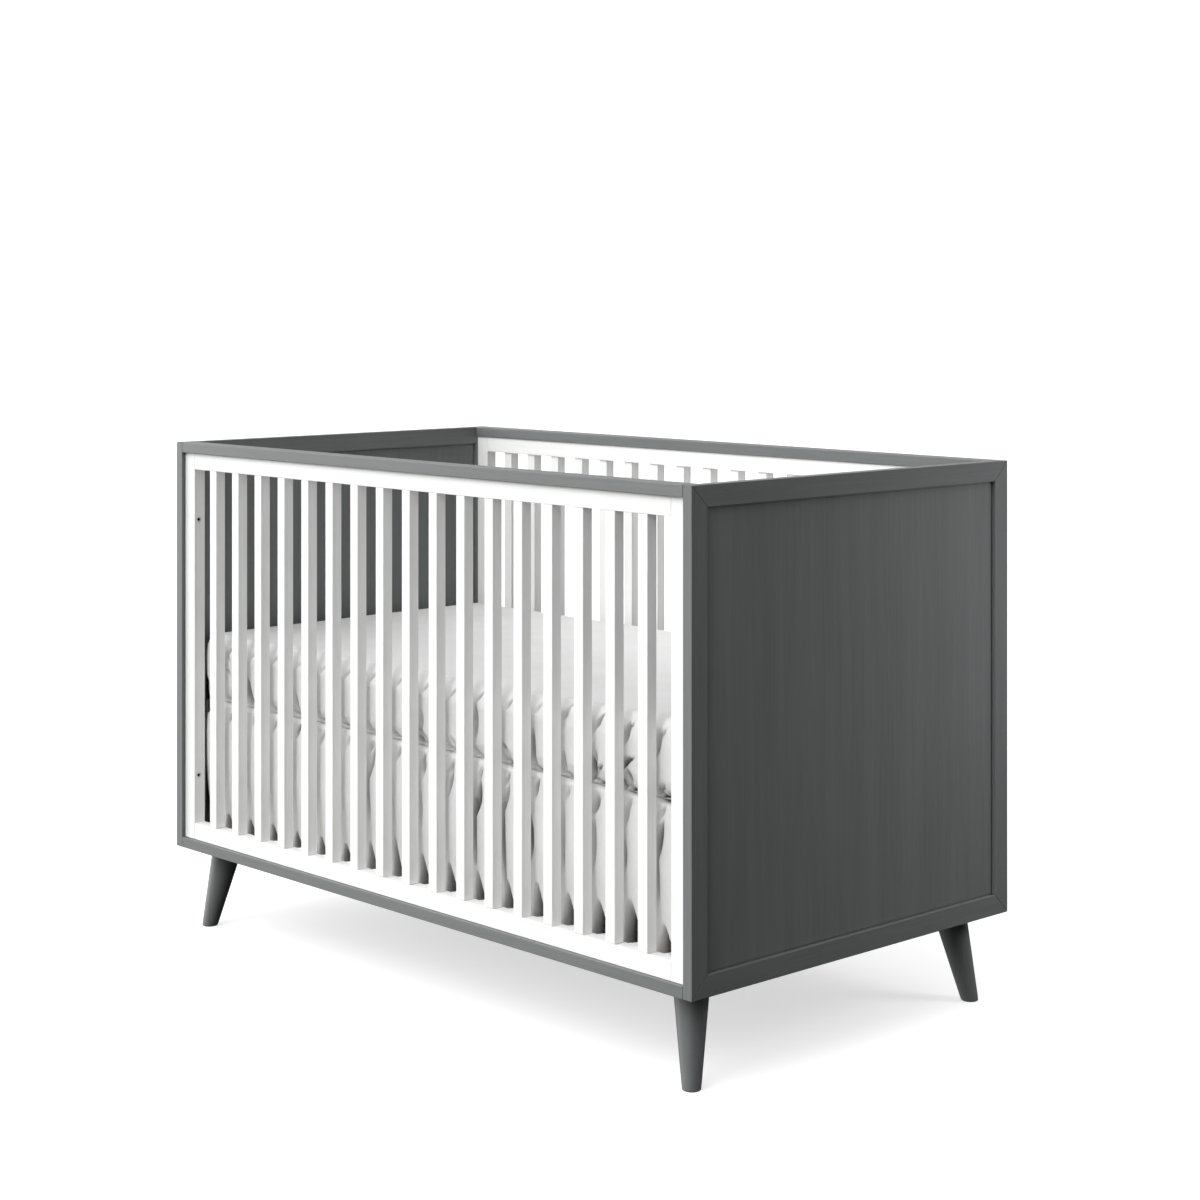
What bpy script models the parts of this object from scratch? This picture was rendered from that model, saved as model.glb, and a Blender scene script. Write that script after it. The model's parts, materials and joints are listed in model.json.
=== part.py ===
"""Baby crib: a slatted case on four splayed legs, with a mattress support that has four height settings.

The origin is on the floor under the middle of the crib. +X runs along its length, +Y to its back and +Z up.
All sizes are in metres. Pieces that touch keep a clearance of GAP.
"""

import math

import bmesh
import bpy
from mathutils import Vector

GAP = 0.0003

# Grey case: two framed end panels joined by four long boards, all cut from one stock
CASE_LENGTH = 1.380
CASE_WIDTH = 0.763
CASE_HEIGHT = 0.768
LEG_HEIGHT = 0.151
STOCK = 0.019
MEMBER_WIDTH = 0.034
EDGE_RADIUS = 0.0008

# End panel: a field with a tongue all round, which sits in a groove of the mitred frame
PANEL_RECESS = 0.006
TONGUE_THICKNESS = 0.004
SHADOW_GAP = 0.003
GROOVE_DEPTH = 0.008
TONGUE_IN_GROOVE = 0.007

# White slatted sides, set back from the front edges of the grey case
SIDE_RECESS = 0.007
SIDE_THICKNESS = 0.023
SIDE_STILE_WIDTH = 0.0315
SIDE_RAIL_HEIGHT = 0.0305
SLAT_COUNT = 17
SLAT_WIDTH = 0.0213
SLAT_THICKNESS = 0.0195

# Hex-socket bolts that fasten the slatted sides to the end frames
BOLT_HEIGHTS = {"upper": 0.623, "lower": 0.139}
BOLT_DEPTH_IN_SIDE = 0.0095
BOLT_HEAD_RADIUS = 0.005
BOLT_HEAD_LENGTH = 0.0052
BOLT_SHANK_RADIUS = 0.003
BOLT_LENGTH = 0.044
BOLT_SEAT_DEPTH = 0.006
BOLT_MOUTH_RADIUS = 0.0055
BOLT_HOLE_RADIUS = 0.0033
BOLT_HOLE_DEPTH = 0.0455
SOCKET_RADIUS = 0.0029
SOCKET_DEPTH = 0.003

# Turned legs, splayed along the diagonal and tenoned into corner blocks
LEG_INSET = 0.0705
LEG_SPLAY = 0.0258
LEG_TOP_RADIUS = 0.0288
LEG_FOOT_RADIUS = 0.0147
FOOT_ROUNDING = 0.0025
TENON_RADIUS = 0.011
TENON_LENGTH = 0.026
BLOCK_SIZE = 0.090
BLOCK_HEIGHT = 0.038
LEG_STEPS = 24
BOLT_STEPS = 16
HOLE_STEPS = 10

# Steel mattress support, at the second highest of its four settings
SUPPORT_TOP = 0.279
SUPPORT_HALF_LENGTH = 0.655
SUPPORT_HALF_WIDTH = 0.333
SUPPORT_BAND = 0.030
SUPPORT_FLANGE_HEIGHT = 0.020
STEEL = 0.003
CROSS_BAR_COUNT = 12
CROSS_BAR_WIDTH = 0.020
LUG_WIDTH = 0.020
LUG_HEIGHT = 0.020
SETTING_PITCH = 0.085
SETTINGS_BELOW = 2
SETTINGS_ABOVE = 1
SETTING_HOLE_RADIUS = 0.0035
BRACKET_WIDTH = 0.018
BRACKET_THICKNESS = 0.002
BRACKET_OVERHANG = 0.015

# Soft pieces
MATTRESS_HALF_LENGTH = 0.656
MATTRESS_HALF_WIDTH = 0.340
MATTRESS_THICKNESS = 0.1225
MATTRESS_CORNER_RADIUS = 0.028
MATTRESS_EDGE_RADIUS = 0.022
SHEET_THICKNESS = 0.001
SKIRT_DECK = 0.001
SKIRT_FLAP = 0.007
SKIRT_HEM_HEIGHT = 0.040
SKIRT_CORNER_SLIT = 0.024

# Places that follow from the sizes above
CASE_BOTTOM = LEG_HEIGHT
CASE_TOP = LEG_HEIGHT + CASE_HEIGHT
HALF_LENGTH = CASE_LENGTH / 2
HALF_WIDTH = CASE_WIDTH / 2
INNER_HALF_LENGTH = HALF_LENGTH - STOCK
SIDE_OUTER_Y = HALF_WIDTH - SIDE_RECESS
SIDE_INNER_Y = SIDE_OUTER_Y - SIDE_THICKNESS
SIDE_BOTTOM = CASE_BOTTOM + STOCK + GAP
SIDE_TOP = CASE_TOP - STOCK - GAP
BAY_HALF_LENGTH = INNER_HALF_LENGTH - GAP - SIDE_STILE_WIDTH
BAY_BOTTOM = SIDE_BOTTOM + SIDE_RAIL_HEIGHT
BAY_TOP = SIDE_TOP - SIDE_RAIL_HEIGHT
DECK_TOP = CASE_BOTTOM + SUPPORT_TOP + GAP + SKIRT_DECK
MATTRESS_BOTTOM = DECK_TOP + GAP

ENDS = {"left": -1, "right": 1}
SIDES = {"front": -1, "back": 1}


# Scene and materials


def clear_scene():
    for item in list(bpy.data.objects):
        bpy.data.objects.remove(item, do_unlink=True)


def make_material(name, colour, roughness, metallic=0.0):
    material = bpy.data.materials.new(name)
    material.use_nodes = True
    shader = material.node_tree.nodes["Principled BSDF"]
    shader.inputs["Base Color"].default_value = (*colour, 1.0)
    shader.inputs["Roughness"].default_value = roughness
    shader.inputs["Metallic"].default_value = metallic
    return material


def make_empty(name, location):
    empty = bpy.data.objects.new(name, None)
    empty.location = location
    bpy.context.scene.collection.objects.link(empty)
    return empty


# Mesh helpers


def finish_mesh(name, bm, smooth_angle=30):
    bmesh.ops.recalc_face_normals(bm, faces=bm.faces)
    mesh = bpy.data.meshes.new(name)
    bm.to_mesh(mesh)
    bm.free()
    mesh.shade_smooth()
    mesh.set_sharp_from_angle(angle=math.radians(smooth_angle))
    return mesh


def place(name, mesh, material, parent, location=(0, 0, 0), rotation=(0, 0, 0)):
    """Links one piece, at a place given in the crib's frame, under the empty of its body."""
    piece = bpy.data.objects.new(name, mesh)
    bpy.context.scene.collection.objects.link(piece)
    if not mesh.materials:
        mesh.materials.append(material)
    piece.parent = parent
    piece.location = Vector(location) - parent.location
    piece.rotation_euler = rotation
    return piece


def add_box(bm, size, centre=(0, 0, 0)):
    made = bmesh.ops.create_cube(bm, size=1.0)
    bmesh.ops.scale(bm, vec=size, verts=made["verts"])
    bmesh.ops.translate(bm, vec=centre, verts=made["verts"])


def box_mesh(name, size):
    bm = bmesh.new()
    add_box(bm, size)
    return finish_mesh(name, bm)


def add_loft(bm, rings):
    """A closed skin through rings of points, with a cap on the first and on the last."""
    loops = [[bm.verts.new(point) for point in ring] for ring in rings]
    for lower, upper in zip(loops, loops[1:]):
        for i in range(len(lower)):
            j = (i + 1) % len(lower)
            bm.faces.new((lower[i], lower[j], upper[j], upper[i]))
    bm.faces.new(list(reversed(loops[0])))
    bm.faces.new(loops[-1])


def loft_mesh(name, rings, smooth_angle=30):
    bm = bmesh.new()
    add_loft(bm, rings)
    return finish_mesh(name, bm, smooth_angle)


def circle(centre, radius, steps, along="Z"):
    """Points round a centre, in the plane across the X, Y or Z axis."""
    axis = "XYZ".index(along)
    points = []
    for i in range(steps):
        angle = 2 * math.pi * (i + 0.5) / steps
        point = Vector(centre)
        point[(axis + 1) % 3] += radius * math.cos(angle)
        point[(axis + 2) % 3] += radius * math.sin(angle)
        points.append(point)
    return points


def round_edges(piece, radius=EDGE_RADIUS):
    bevel = piece.modifiers.new("rounded_edges", "BEVEL")
    bevel.width = radius
    bevel.segments = 2
    bevel.limit_method = "ANGLE"
    bevel.angle_limit = math.radians(30)


def hide_guide(piece):
    piece.hide_render = True
    piece.display_type = "WIRE"


def combine(piece, other, operation):
    """Joins another shape to a piece, or cuts it away, and hides that shape."""
    boolean = piece.modifiers.new(operation.lower(), "BOOLEAN")
    boolean.operation = operation
    boolean.solver = "EXACT"
    boolean.object = other
    hide_guide(other)


# Grey case


def end_member_mesh(name, length):
    """A mitred frame member along Y. Its outer edge is at Z = 0 and its grooved inner edge is below."""
    groove_half = TONGUE_THICKNESS / 2 + GAP
    profile = [
        (-STOCK / 2, 0.0),
        (-STOCK / 2, MEMBER_WIDTH),
        (-groove_half, MEMBER_WIDTH),
        (-groove_half, MEMBER_WIDTH - GROOVE_DEPTH),
        (groove_half, MEMBER_WIDTH - GROOVE_DEPTH),
        (groove_half, MEMBER_WIDTH),
        (STOCK / 2, MEMBER_WIDTH),
        (STOCK / 2, 0.0),
    ]
    mitre_gap = GAP * 0.75
    rings = []
    for end in (-1, 1):
        rings.append([(x, end * (length / 2 - inward - mitre_gap), -inward) for x, inward in profile])
    return loft_mesh(name, rings)


def make_end_frames(grey, crib):
    rail = end_member_mesh("end_rail", CASE_WIDTH)
    stile = end_member_mesh("end_stile", CASE_HEIGHT)
    middle = (CASE_BOTTOM + CASE_TOP) / 2
    quarter = math.pi / 2
    members = {}
    for end, sign in ENDS.items():
        x = sign * (HALF_LENGTH - STOCK / 2)
        layout = {
            "top_rail": (rail, (x, 0, CASE_TOP), 0),
            "bottom_rail": (rail, (x, 0, CASE_BOTTOM), 2 * quarter),
            "front_stile": (stile, (x, -HALF_WIDTH, middle), quarter),
            "back_stile": (stile, (x, HALF_WIDTH, middle), -quarter),
        }
        for part, (mesh, location, turn) in layout.items():
            name = f"{end}_end_{part}"
            members[name] = place(name, mesh, grey, crib, location, (turn, 0, 0))
            round_edges(members[name])
    return members


def make_end_panels(grey, crib):
    """The field stands proud of its tongue on both faces, so that a shadow gap runs round it."""
    opening = (CASE_WIDTH / 2 - MEMBER_WIDTH, CASE_HEIGHT / 2 - MEMBER_WIDTH)
    field_half = STOCK / 2 - PANEL_RECESS
    tongue_half = TONGUE_THICKNESS / 2
    steps = [
        (-field_half, -SHADOW_GAP),
        (-tongue_half, -SHADOW_GAP),
        (-tongue_half, TONGUE_IN_GROOVE),
        (tongue_half, TONGUE_IN_GROOVE),
        (tongue_half, -SHADOW_GAP),
        (field_half, -SHADOW_GAP),
    ]
    rings = []
    for x, beyond in steps:
        y = opening[0] + beyond
        z = opening[1] + beyond
        rings.append([(x, -y, -z), (x, y, -z), (x, y, z), (x, -y, z)])
    mesh = loft_mesh("end_panel", rings)
    for end, sign in ENDS.items():
        location = (sign * (HALF_LENGTH - STOCK / 2), 0, (CASE_BOTTOM + CASE_TOP) / 2)
        place(f"{end}_end_panel", mesh, grey, crib, location)


def make_long_boards(grey, crib):
    mesh = box_mesh("long_board", (2 * (INNER_HALF_LENGTH - GAP), MEMBER_WIDTH, STOCK))
    levels = {"top": CASE_TOP - STOCK / 2, "bottom": CASE_BOTTOM + STOCK / 2}
    for side, sign in SIDES.items():
        for level, z in levels.items():
            location = (0, sign * (HALF_WIDTH - MEMBER_WIDTH / 2), z)
            board = place(f"{side}_{level}_board", mesh, grey, crib, location)
            round_edges(board)


# White slatted sides


def slat_centres():
    """Slats share the bay between the stiles with equal gaps."""
    gap = (2 * BAY_HALF_LENGTH - SLAT_COUNT * SLAT_WIDTH) / (SLAT_COUNT + 1)
    pitch = SLAT_WIDTH + gap
    return [-BAY_HALF_LENGTH + gap + SLAT_WIDTH / 2 + i * pitch for i in range(SLAT_COUNT)]


def make_front_side(white, crib):
    y = -(SIDE_OUTER_Y + SIDE_INNER_Y) / 2
    middle = (SIDE_BOTTOM + SIDE_TOP) / 2
    rail = box_mesh("side_rail", (2 * (BAY_HALF_LENGTH - GAP), SIDE_THICKNESS, SIDE_RAIL_HEIGHT))
    stile = box_mesh("side_stile", (SIDE_STILE_WIDTH, SIDE_THICKNESS, SIDE_TOP - SIDE_BOTTOM))
    slat = box_mesh("side_slat", (SLAT_WIDTH, SLAT_THICKNESS, BAY_TOP - BAY_BOTTOM - 2 * GAP))
    members = {
        "top_rail": place("front_side_top_rail", rail, white, crib, (0, y, SIDE_TOP - SIDE_RAIL_HEIGHT / 2)),
        "bottom_rail": place(
            "front_side_bottom_rail", rail, white, crib, (0, y, SIDE_BOTTOM + SIDE_RAIL_HEIGHT / 2)
        ),
    }
    for end, sign in ENDS.items():
        x = sign * (BAY_HALF_LENGTH + SIDE_STILE_WIDTH / 2)
        members[end] = place(f"front_side_{end}_stile", stile, white, crib, (x, y, middle))
    slat_y = -(SIDE_OUTER_Y - SLAT_THICKNESS / 2)
    for number, x in enumerate(slat_centres(), start=1):
        name = f"front_slat_{number:02d}"
        members[name] = place(name, slat, white, crib, (x, slat_y, middle))
    for piece in members.values():
        round_edges(piece)
    return members


def ring_plate_mesh(name, half_length, half_height, stile, rail, thickness):
    """An upright rectangular ring: an outer and an inner outline, on the two faces of a plate."""
    bm = bmesh.new()
    loops = []
    for y in (-thickness / 2, thickness / 2):
        for inset_x, inset_z in ((0, 0), (stile, rail)):
            x = half_length - inset_x
            z = half_height - inset_z
            loops.append([bm.verts.new(p) for p in ((-x, y, -z), (x, y, -z), (x, y, z), (-x, y, z))])
    outer_a, inner_a, outer_b, inner_b = loops
    for one, other in ((outer_a, inner_a), (inner_a, inner_b), (inner_b, outer_b), (outer_b, outer_a)):
        for i in range(4):
            j = (i + 1) % 4
            bm.faces.new((one[i], one[j], other[j], other[i]))
    return finish_mesh(name, bm)


def make_back_side(white, crib):
    """The back side is one glued unit: its slats run into its rails as tenons."""
    half_height = (SIDE_TOP - SIDE_BOTTOM) / 2
    location = Vector((0, (SIDE_OUTER_Y + SIDE_INNER_Y) / 2, SIDE_BOTTOM + half_height))
    half_length = BAY_HALF_LENGTH + SIDE_STILE_WIDTH
    frame = ring_plate_mesh(
        "back_side", half_length, half_height, SIDE_STILE_WIDTH, SIDE_RAIL_HEIGHT, SIDE_THICKNESS
    )
    panel = place("back_side_panel", frame, white, crib, location)
    tenon = 0.010
    setback = 0.0002
    size = (SLAT_WIDTH, SLAT_THICKNESS, BAY_TOP - BAY_BOTTOM + 2 * tenon)
    slat_y = (SIDE_THICKNESS - SLAT_THICKNESS) / 2 - setback
    bm = bmesh.new()
    for x in slat_centres():
        add_box(bm, size, (x, slat_y, 0))
    slats = place("back_slats_guide", finish_mesh("back_slats_guide", bm), white, crib, location)
    combine(panel, slats, "UNION")
    return panel


# Side bolts


def make_side_bolts(steel, crib, front_stiles, back_panel, end_members):
    """Each bolt runs outwards along X, from a counterbore in the white stile into the grey end stile."""
    mouth = (
        (-0.001, BOLT_MOUTH_RADIUS),
        (BOLT_SEAT_DEPTH, BOLT_MOUTH_RADIUS),
        (BOLT_SEAT_DEPTH, BOLT_HOLE_RADIUS),
        (BOLT_HOLE_DEPTH, BOLT_HOLE_RADIUS),
    )
    head_top = BOLT_SEAT_DEPTH - GAP - BOLT_HEAD_LENGTH
    body = (
        (head_top, BOLT_HEAD_RADIUS),
        (head_top + BOLT_HEAD_LENGTH, BOLT_HEAD_RADIUS),
        (head_top + BOLT_HEAD_LENGTH, BOLT_SHANK_RADIUS),
        (BOLT_LENGTH, BOLT_SHANK_RADIUS),
    )
    socket = ((head_top - 0.001, SOCKET_RADIUS), (head_top + SOCKET_DEPTH, SOCKET_RADIUS))
    hole_mesh = loft_mesh("bolt_hole_guide", [circle((s, 0, 0), r, BOLT_STEPS, "X") for s, r in mouth])
    bolt_mesh = loft_mesh("side_bolt", [circle((s, 0, 0), r, BOLT_STEPS, "X") for s, r in body])
    socket_mesh = loft_mesh("hex_socket_guide", [circle((s, 0, 0), r, 6, "X") for s, r in socket])
    for side, side_sign in SIDES.items():
        for end, end_sign in ENDS.items():
            for level, height in BOLT_HEIGHTS.items():
                name = f"{side}_{end}_{level}"
                y = side_sign * (SIDE_OUTER_Y - BOLT_DEPTH_IN_SIDE)
                spot = (end_sign * BAY_HALF_LENGTH, y, CASE_BOTTOM + height)
                turn = (0, 0, 0 if end_sign > 0 else math.pi)
                bolt = place(f"side_bolt_{name}", bolt_mesh, steel, crib, spot, turn)
                socket_guide = place(f"hex_socket_guide_{name}", socket_mesh, steel, crib, spot, turn)
                combine(bolt, socket_guide, "DIFFERENCE")
                hole = place(f"bolt_hole_guide_{name}", hole_mesh, steel, crib, spot, turn)
                white_piece = front_stiles[end] if side == "front" else back_panel
                combine(white_piece, hole, "DIFFERENCE")
                combine(end_members[f"{end}_end_{side}_stile"], hole, "DIFFERENCE")


# Legs and corner blocks


def splayed(height, radius):
    """A level ring on the leg's slanted axis. Height 0 is the underside of the case."""
    out = -LEG_SPLAY * height / LEG_HEIGHT
    return circle((out, out, height), radius, LEG_STEPS)


def leg_mesh():
    foot = []
    for step in range(4):
        angle = math.pi / 2 * step / 3
        radius = LEG_FOOT_RADIUS - FOOT_ROUNDING * (1 - math.sin(angle))
        foot.append((-LEG_HEIGHT + FOOT_ROUNDING * (1 - math.cos(angle)), radius))
    shank = [(-GAP, LEG_TOP_RADIUS), (-GAP, TENON_RADIUS), (TENON_LENGTH, TENON_RADIUS)]
    return loft_mesh("leg", [splayed(height, radius) for height, radius in foot + shank])


def make_legs(grey, raw_wood, crib):
    leg = leg_mesh()
    bore_radius = TENON_RADIUS + 2 * GAP
    bore_ends = (-0.002, TENON_LENGTH + 0.001)
    bore = loft_mesh("leg_bore_guide", [splayed(height, bore_radius) for height in bore_ends])
    block = box_mesh("corner_block", (BLOCK_SIZE, BLOCK_SIZE, BLOCK_HEIGHT))
    block_x = INNER_HALF_LENGTH - GAP - BLOCK_SIZE / 2
    block_y = HALF_WIDTH - MEMBER_WIDTH - GAP - BLOCK_SIZE / 2
    turns = {("back", "right"): 0, ("back", "left"): 1, ("front", "left"): 2, ("front", "right"): 3}
    for (side, end), quarters in turns.items():
        x_sign = ENDS[end]
        y_sign = SIDES[side]
        turn = (0, 0, quarters * math.pi / 2)
        spot = (x_sign * (HALF_LENGTH - LEG_INSET), y_sign * (HALF_WIDTH - LEG_INSET), CASE_BOTTOM)
        place(f"leg_{side}_{end}", leg, grey, crib, spot, turn)
        centre = (x_sign * block_x, y_sign * block_y, CASE_BOTTOM + BLOCK_HEIGHT / 2)
        corner = place(f"corner_block_{side}_{end}", block, raw_wood, crib, centre)
        round_edges(corner, 0.0015)
        bore_guide = place(f"leg_bore_guide_{side}_{end}", bore, grey, crib, spot, turn)
        combine(corner, bore_guide, "DIFFERENCE")


# Mattress support and its brackets


def make_height_brackets(steel, crib):
    """Upright steel strips on the inner faces of the white stiles, with a hole at each height setting."""
    hole_z = -LUG_HEIGHT / 2
    lowest = hole_z - SETTINGS_BELOW * SETTING_PITCH - BRACKET_OVERHANG
    highest = hole_z + SETTINGS_ABOVE * SETTING_PITCH + BRACKET_OVERHANG
    strip = box_mesh("height_bracket", (BRACKET_WIDTH, BRACKET_THICKNESS, highest - lowest))
    bm = bmesh.new()
    for setting in range(-SETTINGS_BELOW, SETTINGS_ABOVE + 1):
        z = hole_z + setting * SETTING_PITCH - (lowest + highest) / 2
        ends = (-BRACKET_THICKNESS, BRACKET_THICKNESS)
        add_loft(bm, [circle((0, y, z), SETTING_HOLE_RADIUS, HOLE_STEPS, "Y") for y in ends])
    holes = finish_mesh("setting_holes_guide", bm)
    x = BAY_HALF_LENGTH + GAP + BRACKET_WIDTH / 2
    y = SIDE_INNER_Y - GAP - BRACKET_THICKNESS / 2
    z = CASE_BOTTOM + SUPPORT_TOP + (lowest + highest) / 2
    for side, y_sign in SIDES.items():
        for end, x_sign in ENDS.items():
            spot = (x_sign * x, y_sign * y, z)
            bracket = place(f"height_bracket_{side}_{end}", strip, steel, crib, spot)
            hole_guide = place(f"setting_holes_guide_{side}_{end}", holes, steel, crib, spot)
            combine(bracket, hole_guide, "DIFFERENCE")


def angle_ring_mesh():
    """The welded rim of the support: a flat band with a flange turned down along its outer edge."""
    profile = [
        (0.0, 0.0),
        (SUPPORT_BAND, 0.0),
        (SUPPORT_BAND, -STEEL),
        (STEEL, -STEEL),
        (STEEL, -SUPPORT_FLANGE_HEIGHT),
        (0.0, -SUPPORT_FLANGE_HEIGHT),
    ]
    bm = bmesh.new()
    loops = []
    for inset, z in profile:
        x = SUPPORT_HALF_LENGTH - inset
        y = SUPPORT_HALF_WIDTH - inset
        loops.append([bm.verts.new(p) for p in ((-x, -y, z), (x, -y, z), (x, y, z), (-x, y, z))])
    for one, other in zip(loops, loops[1:] + loops[:1]):
        for i in range(4):
            j = (i + 1) % 4
            bm.faces.new((one[i], one[j], other[j], other[i]))
    return finish_mesh("mattress_support", bm)


def make_mattress_support(steel, support):
    """A steel rim with flat cross bars, and a lug at each corner that reaches out to its bracket."""
    frame = place("mattress_support", angle_ring_mesh(), steel, support, support.location)
    weld = SUPPORT_BAND / 2
    bars = bmesh.new()
    pitch = 2 * (SUPPORT_HALF_LENGTH - SUPPORT_BAND) / (CROSS_BAR_COUNT + 1)
    bar_size = (CROSS_BAR_WIDTH, 2 * (SUPPORT_HALF_WIDTH - weld), STEEL * 0.8)
    for i in range(CROSS_BAR_COUNT):
        add_box(bars, bar_size, ((i - (CROSS_BAR_COUNT - 1) / 2) * pitch, 0, -STEEL / 2))
    add_guide(frame, "cross_bars_guide", bars, "UNION", steel, support)
    lug_face = SIDE_INNER_Y - 2 * GAP - BRACKET_THICKNESS
    lugs = bmesh.new()
    holes = bmesh.new()
    for x_sign in ENDS.values():
        for y_sign in SIDES.values():
            add_lug(lugs, x_sign, y_sign, weld, lug_face)
            x = x_sign * (BAY_HALF_LENGTH + GAP + BRACKET_WIDTH / 2)
            ends = [(x, y_sign * y, -LUG_HEIGHT / 2) for y in (lug_face - 2 * STEEL, lug_face + STEEL)]
            add_loft(holes, [circle(end, SETTING_HOLE_RADIUS, HOLE_STEPS, "Y") for end in ends])
    add_guide(frame, "lugs_guide", lugs, "UNION", steel, support)
    add_guide(frame, "lug_holes_guide", holes, "DIFFERENCE", steel, support)


def add_guide(piece, name, bm, operation, material, parent):
    """Combines a shape, made in the frame of a body's empty, with a piece of that body."""
    combine(piece, place(name, finish_mesh(name, bm), material, parent, parent.location), operation)


def add_lug(bm, x_sign, y_sign, weld, face):
    """One bent plate: an arm under the skirt's deck and a flat tab that lies against the bracket."""
    thickness = STEEL * 0.9
    start = SUPPORT_HALF_WIDTH - weld
    outline = [
        (start, -STEEL * 0.05),
        (face, -STEEL * 0.05),
        (face, -LUG_HEIGHT),
        (face - thickness, -LUG_HEIGHT),
        (face - thickness, -STEEL * 0.05 - thickness),
        (start, -STEEL * 0.05 - thickness),
    ]
    outer = SUPPORT_HALF_LENGTH - STEEL * 0.1
    rings = []
    for x in (outer, outer - LUG_WIDTH):
        rings.append([(x_sign * x, y_sign * y, z) for y, z in outline])
    add_loft(bm, rings)


# Soft pieces


def rounded_rectangle(half_length, half_width, radius, z, steps=5):
    points = []
    corners = ((1, 1, 0), (-1, 1, 1), (-1, -1, 2), (1, -1, 3))
    for x_sign, y_sign, quarter in corners:
        centre_x = x_sign * (half_length - radius)
        centre_y = y_sign * (half_width - radius)
        for i in range(steps + 1):
            angle = math.pi / 2 * (quarter + i / steps)
            points.append((centre_x + radius * math.cos(angle), centre_y + radius * math.sin(angle), z))
    return points


def pad_rings(offset, z_bottom, z_top, round_bottom):
    """Level outlines of the mattress grown by an offset, with its edges rounded over."""
    levels = []
    edge = MATTRESS_EDGE_RADIUS + offset
    steps = 4
    if round_bottom:
        for i in range(steps):
            angle = math.pi / 2 * i / steps
            levels.append((edge * (1 - math.sin(angle)), z_bottom + edge * (1 - math.cos(angle))))
    else:
        levels.append((0.0, z_bottom))
    for i in range(steps + 1):
        angle = math.pi / 2 * i / steps
        levels.append((edge * (1 - math.cos(angle)), z_top - edge * (1 - math.sin(angle))))
    rings = []
    for inset, z in levels:
        grow = offset - inset
        radius = MATTRESS_CORNER_RADIUS + grow
        rings.append(rounded_rectangle(MATTRESS_HALF_LENGTH + grow, MATTRESS_HALF_WIDTH + grow, radius, z))
    return rings


def make_mattress(ticking, cotton, mattress_body):
    top = MATTRESS_BOTTOM + MATTRESS_THICKNESS
    low = MATTRESS_BOTTOM - mattress_body.location.z
    high = top - mattress_body.location.z
    pad = loft_mesh("mattress", pad_rings(0, low, high, round_bottom=True))
    place("mattress", pad, ticking, mattress_body, mattress_body.location)
    hem = low + MATTRESS_EDGE_RADIUS + 0.001
    inner = pad_rings(GAP, hem, high + GAP, round_bottom=False)
    outer_offset = GAP + SHEET_THICKNESS
    outer = pad_rings(outer_offset, hem, high + outer_offset, round_bottom=False)
    sheet = loft_mesh("fitted_sheet", list(reversed(inner)) + outer)
    place("fitted_sheet", sheet, cotton, mattress_body, mattress_body.location)


def make_skirt(cotton, support):
    """A flat deck under the mattress with four flaps that hang from its edges, open at the corners."""
    outer_x = SUPPORT_HALF_LENGTH + GAP + SKIRT_FLAP
    outer_y = SUPPORT_HALF_WIDTH + GAP + SKIRT_FLAP
    deck_z = SUPPORT_TOP + GAP
    drop = deck_z - SKIRT_HEM_HEIGHT
    long_half = SUPPORT_HALF_LENGTH - SKIRT_CORNER_SLIT
    short_half = SUPPORT_HALF_WIDTH - SKIRT_CORNER_SLIT
    xs = [-outer_x, -outer_x + SKIRT_FLAP, -long_half, long_half, outer_x - SKIRT_FLAP, outer_x]
    ys = [-outer_y, -outer_y + SKIRT_FLAP, -short_half, short_half, outer_y - SKIRT_FLAP, outer_y]
    layers = [GAP - drop, GAP, GAP + SKIRT_DECK]

    def filled(i, j, k):
        if not (0 <= i < 5 and 0 <= j < 5 and 0 <= k < 2):
            return False
        along_x = i == 2
        along_y = j == 2
        rim_x = i in (0, 4)
        rim_y = j in (0, 4)
        if k == 0:
            return (rim_x and along_y) or (rim_y and along_x)
        return (not rim_x or along_y) and (not rim_y or along_x)

    mesh = cell_solid_mesh("crib_skirt", (xs, ys, layers), filled)
    place("crib_skirt", mesh, cotton, support, support.location)


def cell_solid_mesh(name, grid, filled):
    """A closed skin round the filled cells of a grid of lines along X, Y and Z."""
    bm = bmesh.new()
    corners = {}

    def corner(index):
        if index not in corners:
            corners[index] = bm.verts.new([grid[axis][index[axis]] for axis in range(3)])
        return corners[index]

    counts = [len(lines) - 1 for lines in grid]
    cells = [(i, j, k) for i in range(counts[0]) for j in range(counts[1]) for k in range(counts[2])]
    for cell in cells:
        if not filled(*cell):
            continue
        for axis in range(3):
            across, up = [a for a in range(3) if a != axis]
            for step in (0, 1):
                neighbour = list(cell)
                neighbour[axis] += 2 * step - 1
                if filled(*neighbour):
                    continue
                quad = []
                for du, dv in ((0, 0), (1, 0), (1, 1), (0, 1)):
                    index = list(cell)
                    index[axis] += step
                    index[across] += du
                    index[up] += dv
                    quad.append(corner(tuple(index)))
                bm.faces.new(quad)
    return finish_mesh(name, bm)


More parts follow.
